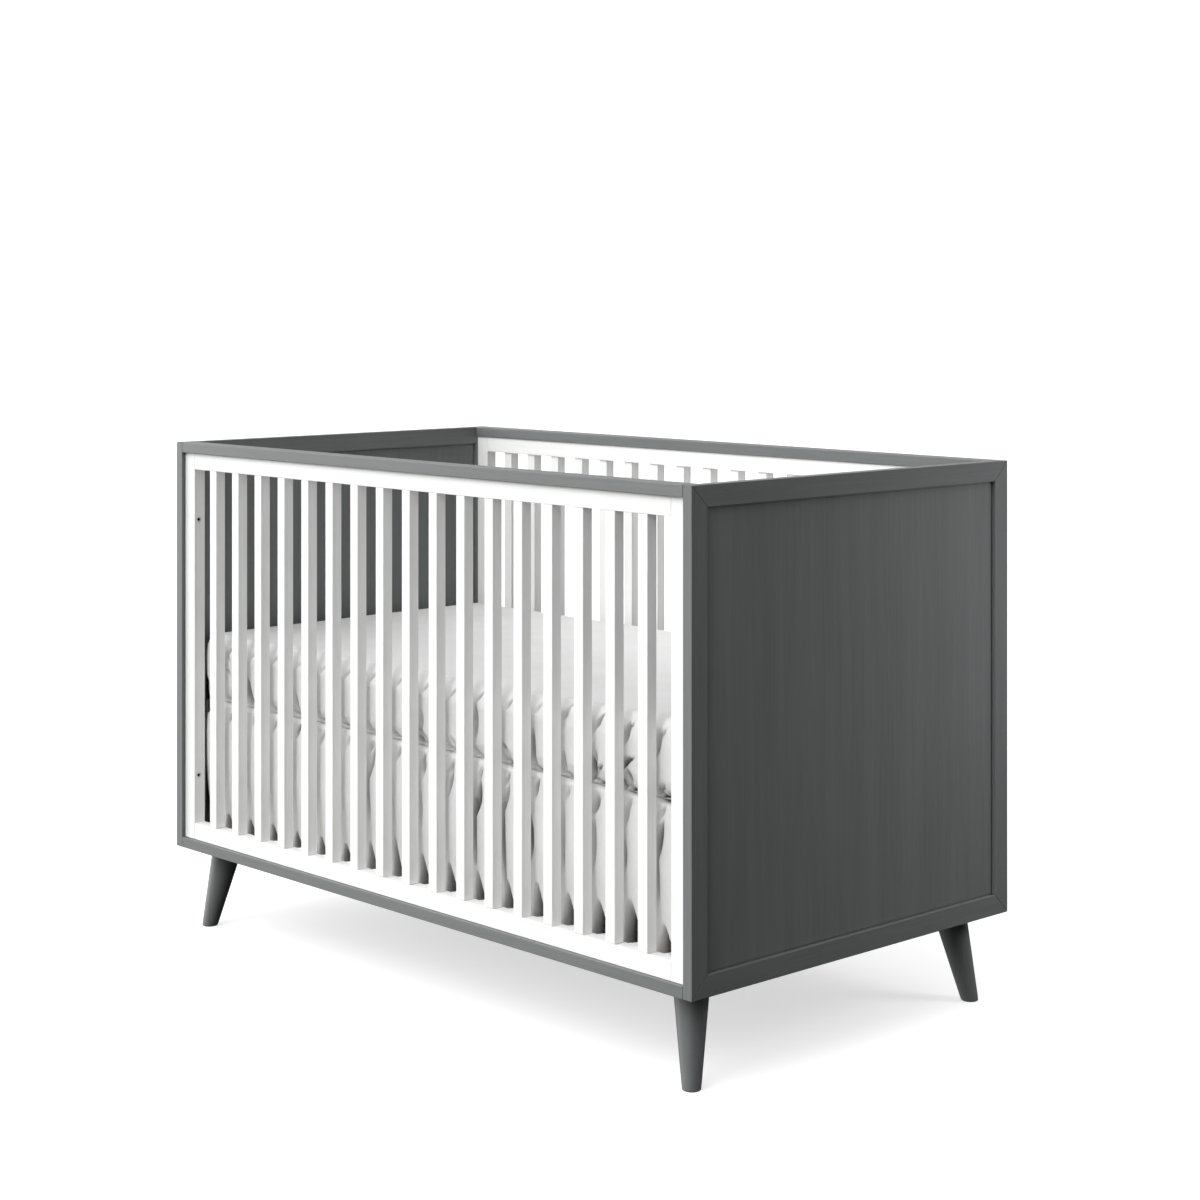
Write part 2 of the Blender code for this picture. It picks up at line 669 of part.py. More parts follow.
def main():
    clear_scene()
    grey = make_material("charcoal_stain", (0.085, 0.095, 0.097), 0.45)
    white = make_material("white_lacquer", (0.80, 0.80, 0.79), 0.35)
    raw_wood = make_material("beech_block", (0.42, 0.28, 0.16), 0.6)
    zinc = make_material("zinc_bolt", (0.45, 0.46, 0.47), 0.35, 1.0)
    steel = make_material("coated_steel", (0.036, 0.037, 0.039), 0.5)
    ticking = make_material("mattress_ticking", (0.78, 0.78, 0.77), 0.9)
    cotton = make_material("white_cotton", (0.82, 0.82, 0.81), 0.9)
    skirt_cotton = make_material("skirt_cotton", (0.82, 0.82, 0.81), 0.9)

    crib = make_empty("crib_origin", (0, 0, 0))
    support = make_empty("support_origin", (0, 0, CASE_BOTTOM + SUPPORT_TOP))
    mattress_body = make_empty("mattress_origin", (0, 0, MATTRESS_BOTTOM))

    end_members = make_end_frames(grey, crib)
    make_end_panels(grey, crib)
    make_long_boards(grey, crib)
    front_members = make_front_side(white, crib)
    back_panel = make_back_side(white, crib)
    make_side_bolts(zinc, crib, front_members, back_panel, end_members)
    make_legs(grey, raw_wood, crib)
    make_height_brackets(steel, crib)
    make_mattress_support(steel, support)
    make_skirt(skirt_cotton, support)
    make_mattress(ticking, cotton, mattress_body)


main()
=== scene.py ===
"""Looks of the baby crib: stained and lacquered wood, steel and cotton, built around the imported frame.

Metres, +X along the crib's length, +Y to its back, +Z up, the origin on the floor under its middle.
"""

import json
import math

import bmesh
import bpy
import numpy as np
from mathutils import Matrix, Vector


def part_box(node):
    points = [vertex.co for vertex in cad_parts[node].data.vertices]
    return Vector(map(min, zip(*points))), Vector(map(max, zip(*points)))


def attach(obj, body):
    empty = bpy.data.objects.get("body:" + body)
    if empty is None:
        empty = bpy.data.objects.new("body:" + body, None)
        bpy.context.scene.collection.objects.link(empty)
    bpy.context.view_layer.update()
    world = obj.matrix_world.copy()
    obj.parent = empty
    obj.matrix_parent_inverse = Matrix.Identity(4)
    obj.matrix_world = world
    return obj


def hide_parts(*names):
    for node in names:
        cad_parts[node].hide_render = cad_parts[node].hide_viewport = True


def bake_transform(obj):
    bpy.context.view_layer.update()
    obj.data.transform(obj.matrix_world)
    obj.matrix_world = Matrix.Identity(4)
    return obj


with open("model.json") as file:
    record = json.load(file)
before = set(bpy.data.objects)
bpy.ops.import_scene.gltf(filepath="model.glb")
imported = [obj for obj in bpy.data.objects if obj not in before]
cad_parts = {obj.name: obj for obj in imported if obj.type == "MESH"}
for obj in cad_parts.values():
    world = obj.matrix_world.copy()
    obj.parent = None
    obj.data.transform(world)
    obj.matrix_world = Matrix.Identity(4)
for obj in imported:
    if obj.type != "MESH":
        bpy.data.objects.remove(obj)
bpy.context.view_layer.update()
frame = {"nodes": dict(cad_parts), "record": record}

SIDES = {"front": -1, "back": 1}
ENDS = {"left": -1, "right": 1}
AXES = {"X": 0, "Y": 1, "Z": 2}

# Camera of the reference view: level, with a vertical shift
CAMERA_PLACE = (3.2137, -2.9279, 1.2149)
CAMERA_TURN = (90.0, 0.0, 46.923)
CAMERA_LENS = 72.327
CAMERA_SHIFT = -0.26122

# How close two points of a CAD mesh must lie to be one
WELD_DISTANCE = 0.00001

# Turned legs
LEG_STEPS = 72
LEG_TOP_RADIUS = 0.0288
LEG_FOOT_RADIUS = 0.0147
FOOT_ROUNDING = 0.0025
TENON_RADIUS = 0.011
TENON_LENGTH = 0.026
CASE_CLEARANCE = 0.0003

# Hex-socket bolts
BOLT_STEPS = 40
BOLT_HEAD_RADIUS = 0.005
BOLT_HEAD_LENGTH = 0.0052
BOLT_SHANK_RADIUS = 0.003
BOLT_CHAMFER = 0.0005
SOCKET_RADIUS = 0.0036
SOCKET_DEPTH = 0.0036
# Painted shade at the bottom of the bolt's socket
SOCKET_PAINTED_SHADE = (0.01, 0.01, 0.01)

# Mattress core under its sheet
CORE_INSET = 0.006
CORE_CORNER = 0.022
CORE_TOP_EDGE = 0.018
CORE_BOTTOM_EDGE = 0.010
CORE_STEP = 0.02

# Walls of the sheet and the skirt, with columns that are fine along the front and coarse along the ends
CORNER_RADIUS = 0.024
CORNER_PUFF = 0.005
CORNER_STEPS = 4
FINE_STEP = 0.0028
END_STEP = 0.011
DECK_STEP = 0.02
STRIP_CENTRE = 0.009
GATHERING = 0.5
GATHER_FADE = 0.03
BULGE_LIMIT = 0.0062

# Fitted sheet
SHEET_EDGE = 0.020
SHEET_RISE = 0.0012
SHEET_SWELL = 0.0042
SHEET_WALL_ROWS = 17
SHEET_EDGE_ROWS = 5
SHEET_WAIST = 0.0008
SHEET_SEED = 3
LONG_DENT_DEPTH = 0.0065
LONG_DENT_SIZE = (0.0060, 0.0190)
COMMA_DEPTH = 0.0065
COMMA_SIZE = (0.0028, 0.0075)
PUCKER_DEPTH = 0.0045

# Skirt, whose flat cut is longer and deeper than it hangs
SKIRT_ROWS = 36
SKIRT_SWELL = 0.0052
SKIRT_TUCK = 0.008
SKIRT_SEED = 8
DIMPLE_DEPTH = 0.0060
DIMPLE_SIZE = (0.0034, 0.0095)

# Openings of the skirt for the support's lugs
LUG_CENTRE = 0.6447
LUG_ROOM = 0.024
LUG_DROP = 0.024
LUG_REACH = 0.32

# Cloth simulation: its length, its extra width, its bending stiffness, and how far a point may move
CLOTH_FRAMES = 20
CLOTH_FULLNESS = 0.03
CLOTH_BENDING = 0.4
CLOTH_REACH = 0.004

# Beside each front slat: the long dent's strength, and its height as a share of the mattress's side
LONG_DENTS = (
    (0.2, 0.50),
    (0.5, 0.40),
    (0.1, 0.50),
    (0.3, 0.35),
    (0.1, 0.50),
    (0.1, 0.45),
    (0.1, 0.50),
    (0.1, 0.40),
    (0.2, 0.40),
    (0.2, 0.55),
    (0.6, 0.45),
    (0.35, 0.58),
    (0.6, 0.40),
    (1.0, 0.68),
    (1.0, 0.66),
    (1.0, 0.66),
    (1.0, 0.70),
)

# Creases of the sheet's side, in millimetres: the slat beside it, then its two ends as (right of the slat's
# middle, above the seam), its half width, its depth and its bow
SHEET_CREASES = (
    (1, (2, 62), (14, 48), 2.4, 5.0, 1.5),
    (1, (14, 74), (6, 92), 2.4, 5.0, 1.0),
    (2, (-3, 52), (15, 4), 5.0, 17.0, -3.0),
    (2, (2, 12), (18, 3), 3.0, 8.5, 1.0),
    (4, (6, 42), (12, 6), 3.4, 8.5, 1.0),
    (9, (9, 58), (7, 24), 2.4, 6.0, 0.5),
    (9, (-1, 30), (20, 3), 2.6, 8.5, 2.0),
    (9, (-3, 16), (6, 3), 4.0, 10.0, 0.5),
    (10, (12, 26), (20, 5), 2.4, 7.0, 1.0),
    (11, (6, 88), (7, 34), 3.8, 8.5, 0.0),
    (12, (-1, 36), (18, 4), 2.6, 8.5, 3.0),
    (13, (6, 62), (10, 10), 4.0, 13.5, -4.0),
    (14, (14, 118), (0, 92), 3.2, 8.5, 1.5),
    (14, (8, 40), (10, 10), 3.0, 7.0, -1.0),
    (15, (20, 112), (2, 84), 3.0, 10.0, 2.0),
    (15, (-6, 3), (24, 32), 2.6, 15.5, 0.0),
    (15, (2, 40), (6, 8), 4.5, 20.5, 0.0),
    (15, (8, 54), (10, 30), 2.6, 7.0, 0.0),
    (16, (8, 104), (2, 74), 4.2, 13.5, 1.0),
    (16, (-8, 26), (22, 52), 3.4, 15.5, 5.0),
    (16, (6, 34), (14, 8), 4.2, 12.0, 2.0),
    (16, (-5, 18), (-1, 2), 3.6, 15.5, 0.0),
    (17, (5, 98), (0, 62), 3.8, 13.5, 1.0),
    (17, (2, 7), (16, 20), 4.0, 8.5, -2.0),
)

# Puckers that run up from the seam: how high each reaches, in metres, and its share of the full depth
PUCKERS = ((0.008, 1.0), (0.015, 0.9), (0.025, 0.55))

# How far the seam opens beside each front slat, in millimetres, then where and how wide in metres
SEAM_GAPS = (1, 2, 2, 2.5, 3, 3, 3.5, 3.5, 5, 3, 4, 8, 6, 6, 8, 10, 14)
SEAM_GAP_PLACE = 0.022
SEAM_GAP_LEFT = 0.018
SEAM_GAP_RIGHT = 0.012
SHEET_SEAM_FADE = 0.0045
SKIRT_SEAM_FADE = 0.0030

# Creases of the skirt, as for the sheet, but with heights below the seam
SKIRT_CREASES = (
    (4, (15, 10), (6, 34), 3.0, 8.5, 1.0),
    (7, (17, 14), (3, 78), 3.2, 11.0, -3.0),
    (7, (3, 66), (7, 150), 2.4, 8.5, 2.0),
    (9, (11, 20), (10, 50), 3.6, 12.0, 0.0),
    (9, (6, 76), (7, 134), 2.2, 5.0, 0.0),
    (10, (16, 22), (6, 72), 3.4, 11.0, -1.5),
    (11, (15, 34), (3, 96), 5.0, 20.5, -3.0),
    (11, (3, 70), (3, 175), 3.4, 15.5, 1.5),
    (12, (15, 28), (4, 76), 3.4, 10.0, -2.0),
    (12, (4, 58), (3, 196), 3.4, 14.5, 1.5),
    (13, (13, 18), (7, 44), 3.2, 8.5, 0.0),
    (13, (-3, 74), (-2, 142), 4.6, 20.5, 0.0),
    (14, (8, 50), (6, 150), 2.6, 5.0, 1.0),
    (15, (15, 22), (2, 48), 3.4, 10.0, 0.0),
    (15, (7, 58), (6, 128), 2.6, 7.5, 0.0),
    (16, (10, 24), (4, 54), 3.0, 6.0, 0.0),
    (16, (4, 76), (4, 124), 2.8, 7.5, 0.0),
    (17, (14, 36), (3, 92), 4.2, 16.0, 1.0),
    (17, (3, 88), (4, 160), 2.6, 7.0, 0.0),
)

# Beside each front slat: the height and the half width of the tuck at the skirt's hem, in millimetres
HEM_TUCKS = (
    (22, 7),
    (24, 7),
    (26, 8),
    (24, 8),
    (28, 7),
    (26, 8),
    (44, 7),
    (64, 7),
    (48, 8),
    (46, 9),
    (44, 8),
    (44, 8),
    (52, 9),
    (48, 10),
    (52, 12),
    (66, 15),
    (40, 9),
)
HEM_TUCK_DEPTH = 0.030
HEM_TUCK_PLACE = 0.013
HEM_TUCK_SHIFT = 0.0011

# Painted shade of the cloth: the depth at which folds are painted in full shade, the painted colour there,
# and how much more painted shade the open seam gets
FULL_PAINTED_SHADE_DEPTH = 0.015
PAINTED_SHADE_CURVE = 1.2
FOLD_PAINTED_SHADE = (0.045, 0.045, 0.046)
SEAM_PAINTED_SHADE = 2.5
SEAM_PAINTED_SHADE_FADE = 0.0022

# Studio: broad and narrow glows round the crib, by azimuth from +X, elevation, strength and narrowness
GLOWS = (
    (210, 10, 2.15, 7),
    (60, 40, 0.15, 7),
    (120, 40, 0.70, 7),
    (150, 40, 0.60, 7),
    (180, 40, 0.45, 7),
    (210, 40, 0.60, 7),
    (270, 40, 1.20, 7),
    (0, 90, 0.35, 7),
    (200, 10, 3.40, 30),
    (225, 10, 0.20, 30),
    (225, 35, 0.20, 30),
    (270, 20, 2.15, 30),
    (290, 20, 1.25, 30),
    (270, 45, 2.30, 30),
    (290, 45, 4.85, 30),
    (310, 45, 0.55, 30),
    (60, 10, 1.10, 30),
    (75, 10, 0.60, 30),
)
BACKDROP_GLOW = 1.05
FLOOR_GLOW = 0.60
FLOOR_SIZE = 60.0

# Soft box near the back of the right end
END_LIGHT_PLACE = (1.40, 0.85, 0.78)
END_LIGHT_AIM = (0.69, 0.38, 0.60)
END_LIGHT_SIZE = 0.4
END_LIGHT_POWER = 5.5


# Materials


def add_node(tree, kind, inputs=None, **settings):
    """A shader node with its settings. Each input is linked if it is given a socket, and set otherwise."""
    made = tree.nodes.new(kind)
    for name, value in settings.items():
        setattr(made, name, value)
    for name, value in (inputs or {}).items():
        if isinstance(value, bpy.types.NodeSocket):
            tree.links.new(value, made.inputs[name])
        else:
            made.inputs[name].default_value = value
    return made


def start_material(name, **constants):
    """A material with one Principled shader, whose constant values are given by socket name."""
    material = bpy.data.materials.new(name)
    material.use_nodes = True
    tree = material.node_tree
    tree.nodes.clear()
    shader = tree.nodes.new("ShaderNodeBsdfPrincipled")
    output = tree.nodes.new("ShaderNodeOutputMaterial")
    tree.links.new(shader.outputs["BSDF"], output.inputs["Surface"])
    for socket, value in constants.items():
        shader.inputs[socket.replace("_", " ")].default_value = value
    return material, tree, shader


def object_place(tree, stretch=(1, 1, 1)):
    """The place on the object in metres, scaled along each axis."""
    place = add_node(tree, "ShaderNodeTexCoord").outputs["Object"]
    mapping = add_node(tree, "ShaderNodeMapping", {"Vector": place, "Scale": stretch})
    return mapping.outputs["Vector"]


def noise_value(tree, place, scale, detail, roughness=0.5):
    """A noise between 0 and 1, with its mean at one half."""
    inputs = {"Vector": place, "Scale": scale, "Detail": detail, "Roughness": roughness}
    return add_node(tree, "ShaderNodeTexNoise", inputs).outputs["Fac"]


def remap(tree, value, low, high, to_low=0.0, to_high=1.0):
    inputs = {"Value": value, "From Min": low, "From Max": high, "To Min": to_low, "To Max": to_high}
    return add_node(tree, "ShaderNodeMapRange", inputs).outputs["Result"]


def compute(tree, operation, a, b=0.0):
    made = add_node(tree, "ShaderNodeMath", {0: a, 1: b}, operation=operation)
    return made.outputs["Value"]


def mix_colours(tree, factor, one, other):
    """A mix of two colours, each a socket or three numbers."""
    made = add_node(tree, "ShaderNodeMix", data_type="RGBA")
    tree.links.new(factor, made.inputs[0])
    for place, colour in ((6, one), (7, other)):
        if isinstance(colour, bpy.types.NodeSocket):
            tree.links.new(colour, made.inputs[place])
        else:
            made.inputs[place].default_value = (*colour, 1.0)
    return made.outputs[2]


def set_bump(tree, shader, height, distance, strength):
    inputs = {"Height": height, "Distance": distance, "Strength": strength}
    bump = add_node(tree, "ShaderNodeBump", inputs)
    tree.links.new(bump.outputs["Normal"], shader.inputs["Normal"])


def along(axis, value, rest=1.0):
    """A scale of `value` along the grain's axis and of `rest` across it."""
    return tuple(value if i == AXES[axis] else rest for i in range(3))


def charcoal_stain(axis):
    """Open-grained wood under a dark grey-green stain, with its grain along one axis."""
    material, tree, shader = start_material(f"charcoal_stain_{axis}", Specular_IOR_Level=0.5)
    figure = noise_value(tree, object_place(tree, along(axis, 0.07)), 26.0, 3.0, 0.55)
    streak = noise_value(tree, object_place(tree, along(axis, 0.025)), 210.0, 5.0, 0.62)
    pore = noise_value(tree, object_place(tree, along(axis, 0.045)), 620.0, 2.0, 0.5)
    pores = remap(tree, pore, 0.60, 0.74)
    tone = compute(tree, "MULTIPLY", figure, 0.45)
    tone = compute(tree, "ADD", tone, compute(tree, "MULTIPLY", streak, 0.55))
    tone = remap(tree, tone, 0.36, 0.64)
    tone = compute(tree, "SUBTRACT", tone, compute(tree, "MULTIPLY", pores, 0.5))
    colour = mix_colours(tree, tone, (0.118, 0.127, 0.126), (0.148, 0.158, 0.156))
    tree.links.new(colour, shader.inputs["Base Color"])
    tree.links.new(remap(tree, streak, 0.3, 0.7, 0.36, 0.46), shader.inputs["Roughness"])
    height = compute(tree, "SUBTRACT", compute(tree, "MULTIPLY", streak, 0.5), pores)
    set_bump(tree, shader, height, 0.00012, 0.6)
    return material


def white_lacquer(axis):
    """White satin lacquer over fine-grained wood: a little grain telegraphs through the sprayed coat."""
    material, tree, shader = start_material(f"white_lacquer_{axis}", Specular_IOR_Level=0.5)
    grain = noise_value(tree, object_place(tree, along(axis, 0.03)), 260.0, 4.0, 0.55)
    spray = noise_value(tree, object_place(tree), 900.0, 1.0, 0.4)
    cloud = noise_value(tree, object_place(tree), 9.0, 2.0, 0.5)
    tone = compute(tree, "ADD", compute(tree, "MULTIPLY", grain, 0.6), compute(tree, "MULTIPLY", cloud, 0.4))
    colour = mix_colours(tree, remap(tree, tone, 0.35, 0.65), (0.80, 0.80, 0.79), (0.86, 0.86, 0.855))
    tree.links.new(colour, shader.inputs["Base Color"])
    tree.links.new(remap(tree, cloud, 0.3, 0.7, 0.33, 0.42), shader.inputs["Roughness"])
    height = compute(tree, "MULTIPLY", grain, 0.6)
    height = compute(tree, "ADD", height, compute(tree, "MULTIPLY", spray, 0.4))
    set_bump(tree, shader, height, 0.00006, 0.5)
    return material


def beech_block(axis):
    """Bare beech: warm, with short dark flecks along the grain."""
    material, tree, shader = start_material(f"beech_block_{axis}", Specular_IOR_Level=0.4)
    figure = noise_value(tree, object_place(tree, along(axis, 0.12)), 60.0, 3.0, 0.5)
    flecks = remap(tree, noise_value(tree, object_place(tree, along(axis, 0.15)), 500.0, 1.0), 0.62, 0.72)
    tone = remap(tree, figure, 0.35, 0.65)
    tone = compute(tree, "SUBTRACT", tone, compute(tree, "MULTIPLY", flecks, 0.8))
    colour = mix_colours(tree, tone, (0.33, 0.20, 0.105), (0.50, 0.34, 0.20))
    tree.links.new(colour, shader.inputs["Base Color"])
    tree.links.new(remap(tree, figure, 0.3, 0.7, 0.55, 0.68), shader.inputs["Roughness"])
    set_bump(tree, shader, figure, 0.0001, 0.5)
    return material


def coated_steel():
    """Powder-coated steel, near black, with the coating's fine orange peel."""
    material, tree, shader = start_material("coated_steel", Specular_IOR_Level=0.5)
    peel = noise_value(tree, object_place(tree), 750.0, 2.0, 0.5)
    cloud = noise_value(tree, object_place(tree), 30.0, 3.0, 0.6)
    colour = mix_colours(tree, remap(tree, cloud, 0.3, 0.7), (0.028, 0.029, 0.031), (0.045, 0.046, 0.048))
    tree.links.new(colour, shader.inputs["Base Color"])
    tree.links.new(remap(tree, cloud, 0.3, 0.7, 0.42, 0.55), shader.inputs["Roughness"])
    set_bump(tree, shader, peel, 0.00008, 0.6)
    return material


def zinc_bolt():
    """Zinc-plated steel with turning marks round the bolt's axis, and painted shade where the mesh marks its
    socket.
    """
    material, tree, shader = start_material("zinc_bolt", Metallic=1.0)
    marks = noise_value(tree, object_place(tree, (1.0, 0.1, 0.1)), 2500.0, 2.0, 0.6)
    cloud = noise_value(tree, object_place(tree), 180.0, 3.0, 0.6)
    colour = mix_colours(tree, cloud, (0.70, 0.71, 0.72), (0.86, 0.87, 0.87))
    # Painted shade: a mesh attribute darkens the zinc's colour inside the socket
    socket_painted_shade = add_node(tree, "ShaderNodeAttribute", attribute_name="painted_shade").outputs["Fac"]
    tree.links.new(mix_colours(tree, socket_painted_shade, colour, SOCKET_PAINTED_SHADE), shader.inputs["Base Color"])
    tree.links.new(remap(tree, cloud, 0.3, 0.7, 0.28, 0.42), shader.inputs["Roughness"])
    set_bump(tree, shader, marks, 0.00002, 0.5)
    return material


def woven(name, one, other, thread, crease, roughness):
    """Plain-woven cotton, with painted shade darkening it where the mesh says it is folded in.

    The weave's height is the product of two sines across each pair of axes.
    """
    look = {"Specular_IOR_Level": 0.25, "Sheen_Weight": 0.12, "Sheen_Roughness": 0.6}
    material, tree, shader = start_material(name, **look)
    turns = (2 * math.pi / thread,) * 3
    wave = add_node(tree, "ShaderNodeVectorMath", {0: object_place(tree, turns)}, operation="SINE")
    split = add_node(tree, "ShaderNodeSeparateXYZ", {0: wave.outputs["Vector"]}).outputs
    over = compute(tree, "MULTIPLY", split["X"], split["Z"])
    across = compute(tree, "MULTIPLY", split["Y"], split["Z"])
    flat = compute(tree, "MULTIPLY", split["X"], split["Y"])
    weave = compute(tree, "ADD", compute(tree, "ADD", over, across), flat)
    slub = noise_value(tree, object_place(tree, (1.0, 1.0, 0.25)), 420.0, 3.0, 0.6)
    cloud = noise_value(tree, object_place(tree), 14.0, 3.0, 0.55)
    tone = compute(tree, "ADD", compute(tree, "MULTIPLY", slub, 0.5), compute(tree, "MULTIPLY", cloud, 0.5))
    colour = mix_colours(tree, remap(tree, tone, 0.36, 0.64), one, other)
    # Painted shade: a mesh attribute darkens the cloth's colour in its folds
    painted_shade = add_node(tree, "ShaderNodeAttribute", attribute_name="painted_shade").outputs["Fac"]
    tree.links.new(mix_colours(tree, painted_shade, colour, FOLD_PAINTED_SHADE), shader.inputs["Base Color"])
    rough = remap(tree, slub, 0.3, 0.7, roughness - 0.05, roughness + 0.05)
    tree.links.new(rough, shader.inputs["Roughness"])
    fine = compute(tree, "ADD", compute(tree, "MULTIPLY", weave, 0.12), compute(tree, "MULTIPLY", slub, 0.5))
    soft = noise_value(tree, object_place(tree), crease, 3.0, 0.55)
    set_bump(tree, shader, compute(tree, "ADD", fine, compute(tree, "MULTIPLY", soft, 2.0)), 0.00025, 0.5)
    return material


# Hard pieces


def make_grained():
    """The wood materials for each grain axis, and the rest, by record slot."""
    made = {}
    for axis in AXES:
        made["charcoal_stain", axis] = charcoal_stain(axis)
        made["white_lacquer", axis] = white_lacquer(axis)
        made["beech_block", axis] = beech_block(axis)
    made["coated_steel", None] = coated_steel()
    made["zinc_bolt", None] = zinc_bolt()
    return made


def longest_axis(node):
    low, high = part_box(node)
    size = high - low
    return max(AXES, key=lambda axis: size[AXES[axis]])


def grain_axis(node):
    """Wood runs along a member's length, and upright in a panel."""
    if node.endswith("_panel"):
        return "Z"
    if node.startswith("leg_"):
        return "Z"
    if node.startswith("corner_block"):
        return "X"
    return longest_axis(node)


def dress_hard_nodes(finishes):
    """Gives each CAD node its own grained material, and joins its loose triangles into one smooth skin."""
    slots = {part["node"]: part["material_slot"] for part in frame["record"]["subparts"]}
    for node, piece in frame["nodes"].items():
        slot = slots[node]
        axis = grain_axis(node) if (slot, "X") in finishes else None
        if (slot, axis) in finishes:
            piece.material_slots[0].material = finishes[slot, axis]
        weld = piece.modifiers.new("weld", "WELD")
        weld.merge_threshold = WELD_DISTANCE
        flatten_shading(piece)


def flatten_shading(piece):
    """Lets the broad faces set the normals, so that only the rounded edges look round."""
    weighted = piece.modifiers.new("weighted_normals", "WEIGHTED_NORMAL")
    weighted.weight = 100
    weighted.keep_sharp = True


def make_mesh_object(name, bm, material, smooth_angle=35.0):
    """An object from a bmesh, shaded smooth but for edges sharper than an angle in degrees."""
    bmesh.ops.recalc_face_normals(bm, faces=bm.faces)
    mesh = bpy.data.meshes.new(name)
    bm.to_mesh(mesh)
    bm.free()
    mesh.materials.append(material)
    mesh.shade_smooth()
    mesh.set_sharp_from_angle(angle=math.radians(smooth_angle))
    piece = bpy.data.objects.new(name, mesh)
    bpy.context.scene.collection.objects.link(piece)
    return piece


def loft(bm, rings):
    """Joins rings of points with quads, and closes the first and last ring with a face."""
    loops = [[bm.verts.new(point) for point in ring] for ring in rings]
    for one, other in zip(loops, loops[1:]):
        for i in range(len(one)):
            j = (i + 1) % len(one)
            bm.faces.new((one[i], one[j], other[j], other[i]))
    bm.faces.new(loops[0])
    bm.faces.new(loops[-1])


def quarter_round(steps):
    """Angles from 0 to a right angle."""
    return [math.pi / 2 * step / steps for step in range(steps + 1)]


def turned_leg(side, end, finishes):
    """A splayed leg, turned on a slanted axis, with a rounded foot and a tenon for its corner block."""
    node = f"leg_{side}_{end}"
    low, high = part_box(node)
    case_bottom = high.z - TENON_LENGTH
    outer = Vector((high.x if ENDS[end] > 0 else low.x, high.y if SIDES[side] > 0 else low.y, 0))
    inner = Vector((low.x if ENDS[end] > 0 else high.x, low.y if SIDES[side] > 0 else high.y, 0))
    facing = Vector((ENDS[end], SIDES[side], 0))
    head = inner + facing * LEG_TOP_RADIUS
    foot = outer - facing * LEG_FOOT_RADIUS
    profile = []
    for angle in quarter_round(6):
        height = FOOT_ROUNDING * (1 - math.cos(angle))
        profile.append((height, LEG_FOOT_RADIUS - FOOT_ROUNDING * (1 - math.sin(angle))))
    shoulder = case_bottom - CASE_CLEARANCE
    for share in np.linspace(0.06, 1.0, 24):
        profile.append((shoulder * share, LEG_FOOT_RADIUS + (LEG_TOP_RADIUS - LEG_FOOT_RADIUS) * share))
    profile.append((shoulder, TENON_RADIUS))
    profile.append((high.z, TENON_RADIUS))
    rings = []
    for height, radius in profile:
        centre = foot.lerp(head, height / case_bottom)
        ring = []
        for step in range(LEG_STEPS):
            turn = 2 * math.pi * step / LEG_STEPS
            ring.append((centre.x + radius * math.cos(turn), centre.y + radius * math.sin(turn), height))
        rings.append(ring)
    bm = bmesh.new()
    loft(bm, rings)
    leg = make_mesh_object(f"turned_leg_{side}_{end}", bm, finishes["charcoal_stain", "Z"])
    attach(leg, "crib")
    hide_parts(node)


def socket_bolt(side, end, level, finishes):
    """A cap-head bolt with a chamfered rim and a hexagonal socket, lying along X."""
    node = f"side_bolt_{side}_{end}_{level}"
    low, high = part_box(node)
    centre = (low + high) / 2
    outwards = ENDS[end]
    mouth = low.x if outwards > 0 else high.x
    tip = high.x if outwards > 0 else low.x
    length = abs(tip - mouth)
    profile = [
        (BOLT_HEAD_LENGTH, BOLT_SHANK_RADIUS),
        (BOLT_HEAD_LENGTH, BOLT_HEAD_RADIUS),
        (BOLT_CHAMFER, BOLT_HEAD_RADIUS),
        (0.0, BOLT_HEAD_RADIUS - BOLT_CHAMFER),
    ]
    bm = bmesh.new()

    def ring(depth, radius, corners=None):
        points = []
        for step in range(BOLT_STEPS):
            turn = 2 * math.pi * step / BOLT_STEPS
            reach = radius
            if corners:
                within = (turn + math.pi / corners) % (2 * math.pi / corners) - math.pi / corners
                reach = radius * math.cos(math.pi / corners) / math.cos(within)
            x = mouth + outwards * depth
            points.append((x, centre.y + reach * math.cos(turn), centre.z + reach * math.sin(turn)))
        return points

    rings = [ring(length, BOLT_SHANK_RADIUS - BOLT_CHAMFER), ring(length - BOLT_CHAMFER, BOLT_SHANK_RADIUS)]
    rings += [ring(depth, radius) for depth, radius in profile]
    rings += [ring(0.0, SOCKET_RADIUS, corners=6), ring(SOCKET_DEPTH, SOCKET_RADIUS, corners=6)]
    loft(bm, rings)
    bolt = make_mesh_object(f"socket_bolt_{side}_{end}_{level}", bm, finishes["zinc_bolt", None], 25.0)
    # Marks the socket's bottom ring for painted shade in the bolt's material
    inside = np.zeros(len(bolt.data.vertices))
    inside[-BOLT_STEPS:] = 1.0
    bolt.data.attributes.new("painted_shade", "FLOAT", "POINT").data.foreach_set("value", inside)
    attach(bolt, "crib")
    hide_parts(node)


def back_side_pieces(finishes):
    """The back side's rails, stiles and slats, each the mirror image of its front neighbour."""
    members = [f"front_side_{part}" for part in ("top_rail", "bottom_rail", "left_stile", "right_stile")]
    slats = sorted(node for node in frame["nodes"] if node.startswith("front_slat_"))
    for node in members + slats:
        bm = bmesh.new()
        bm.from_mesh(frame["nodes"][node].data)
        bmesh.ops.remove_doubles(bm, verts=bm.verts, dist=WELD_DISTANCE)
        bmesh.ops.scale(bm, vec=(1, -1, 1), verts=bm.verts)
        bmesh.ops.reverse_faces(bm, faces=bm.faces)
        finish = finishes["white_lacquer", grain_axis(node)]
        piece = make_mesh_object(node.replace("front_", "back_"), bm, finish)
        flatten_shading(piece)
        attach(piece, "crib")
        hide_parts("back_side_panel")


# Soft pieces


def grid_lines(half, corner, step):
    """Coordinates from -half to half: an even fan across each round corner, and even steps between them."""
    fan = np.linspace(0.0, corner, CORNER_STEPS + 1)
    count = max(2, round(2 * (half - corner) / step))
    middle = np.linspace(-(half - corner), half - corner, count + 1)
    return np.concatenate([-half + fan[:-1], middle, half - fan[-2::-1]])


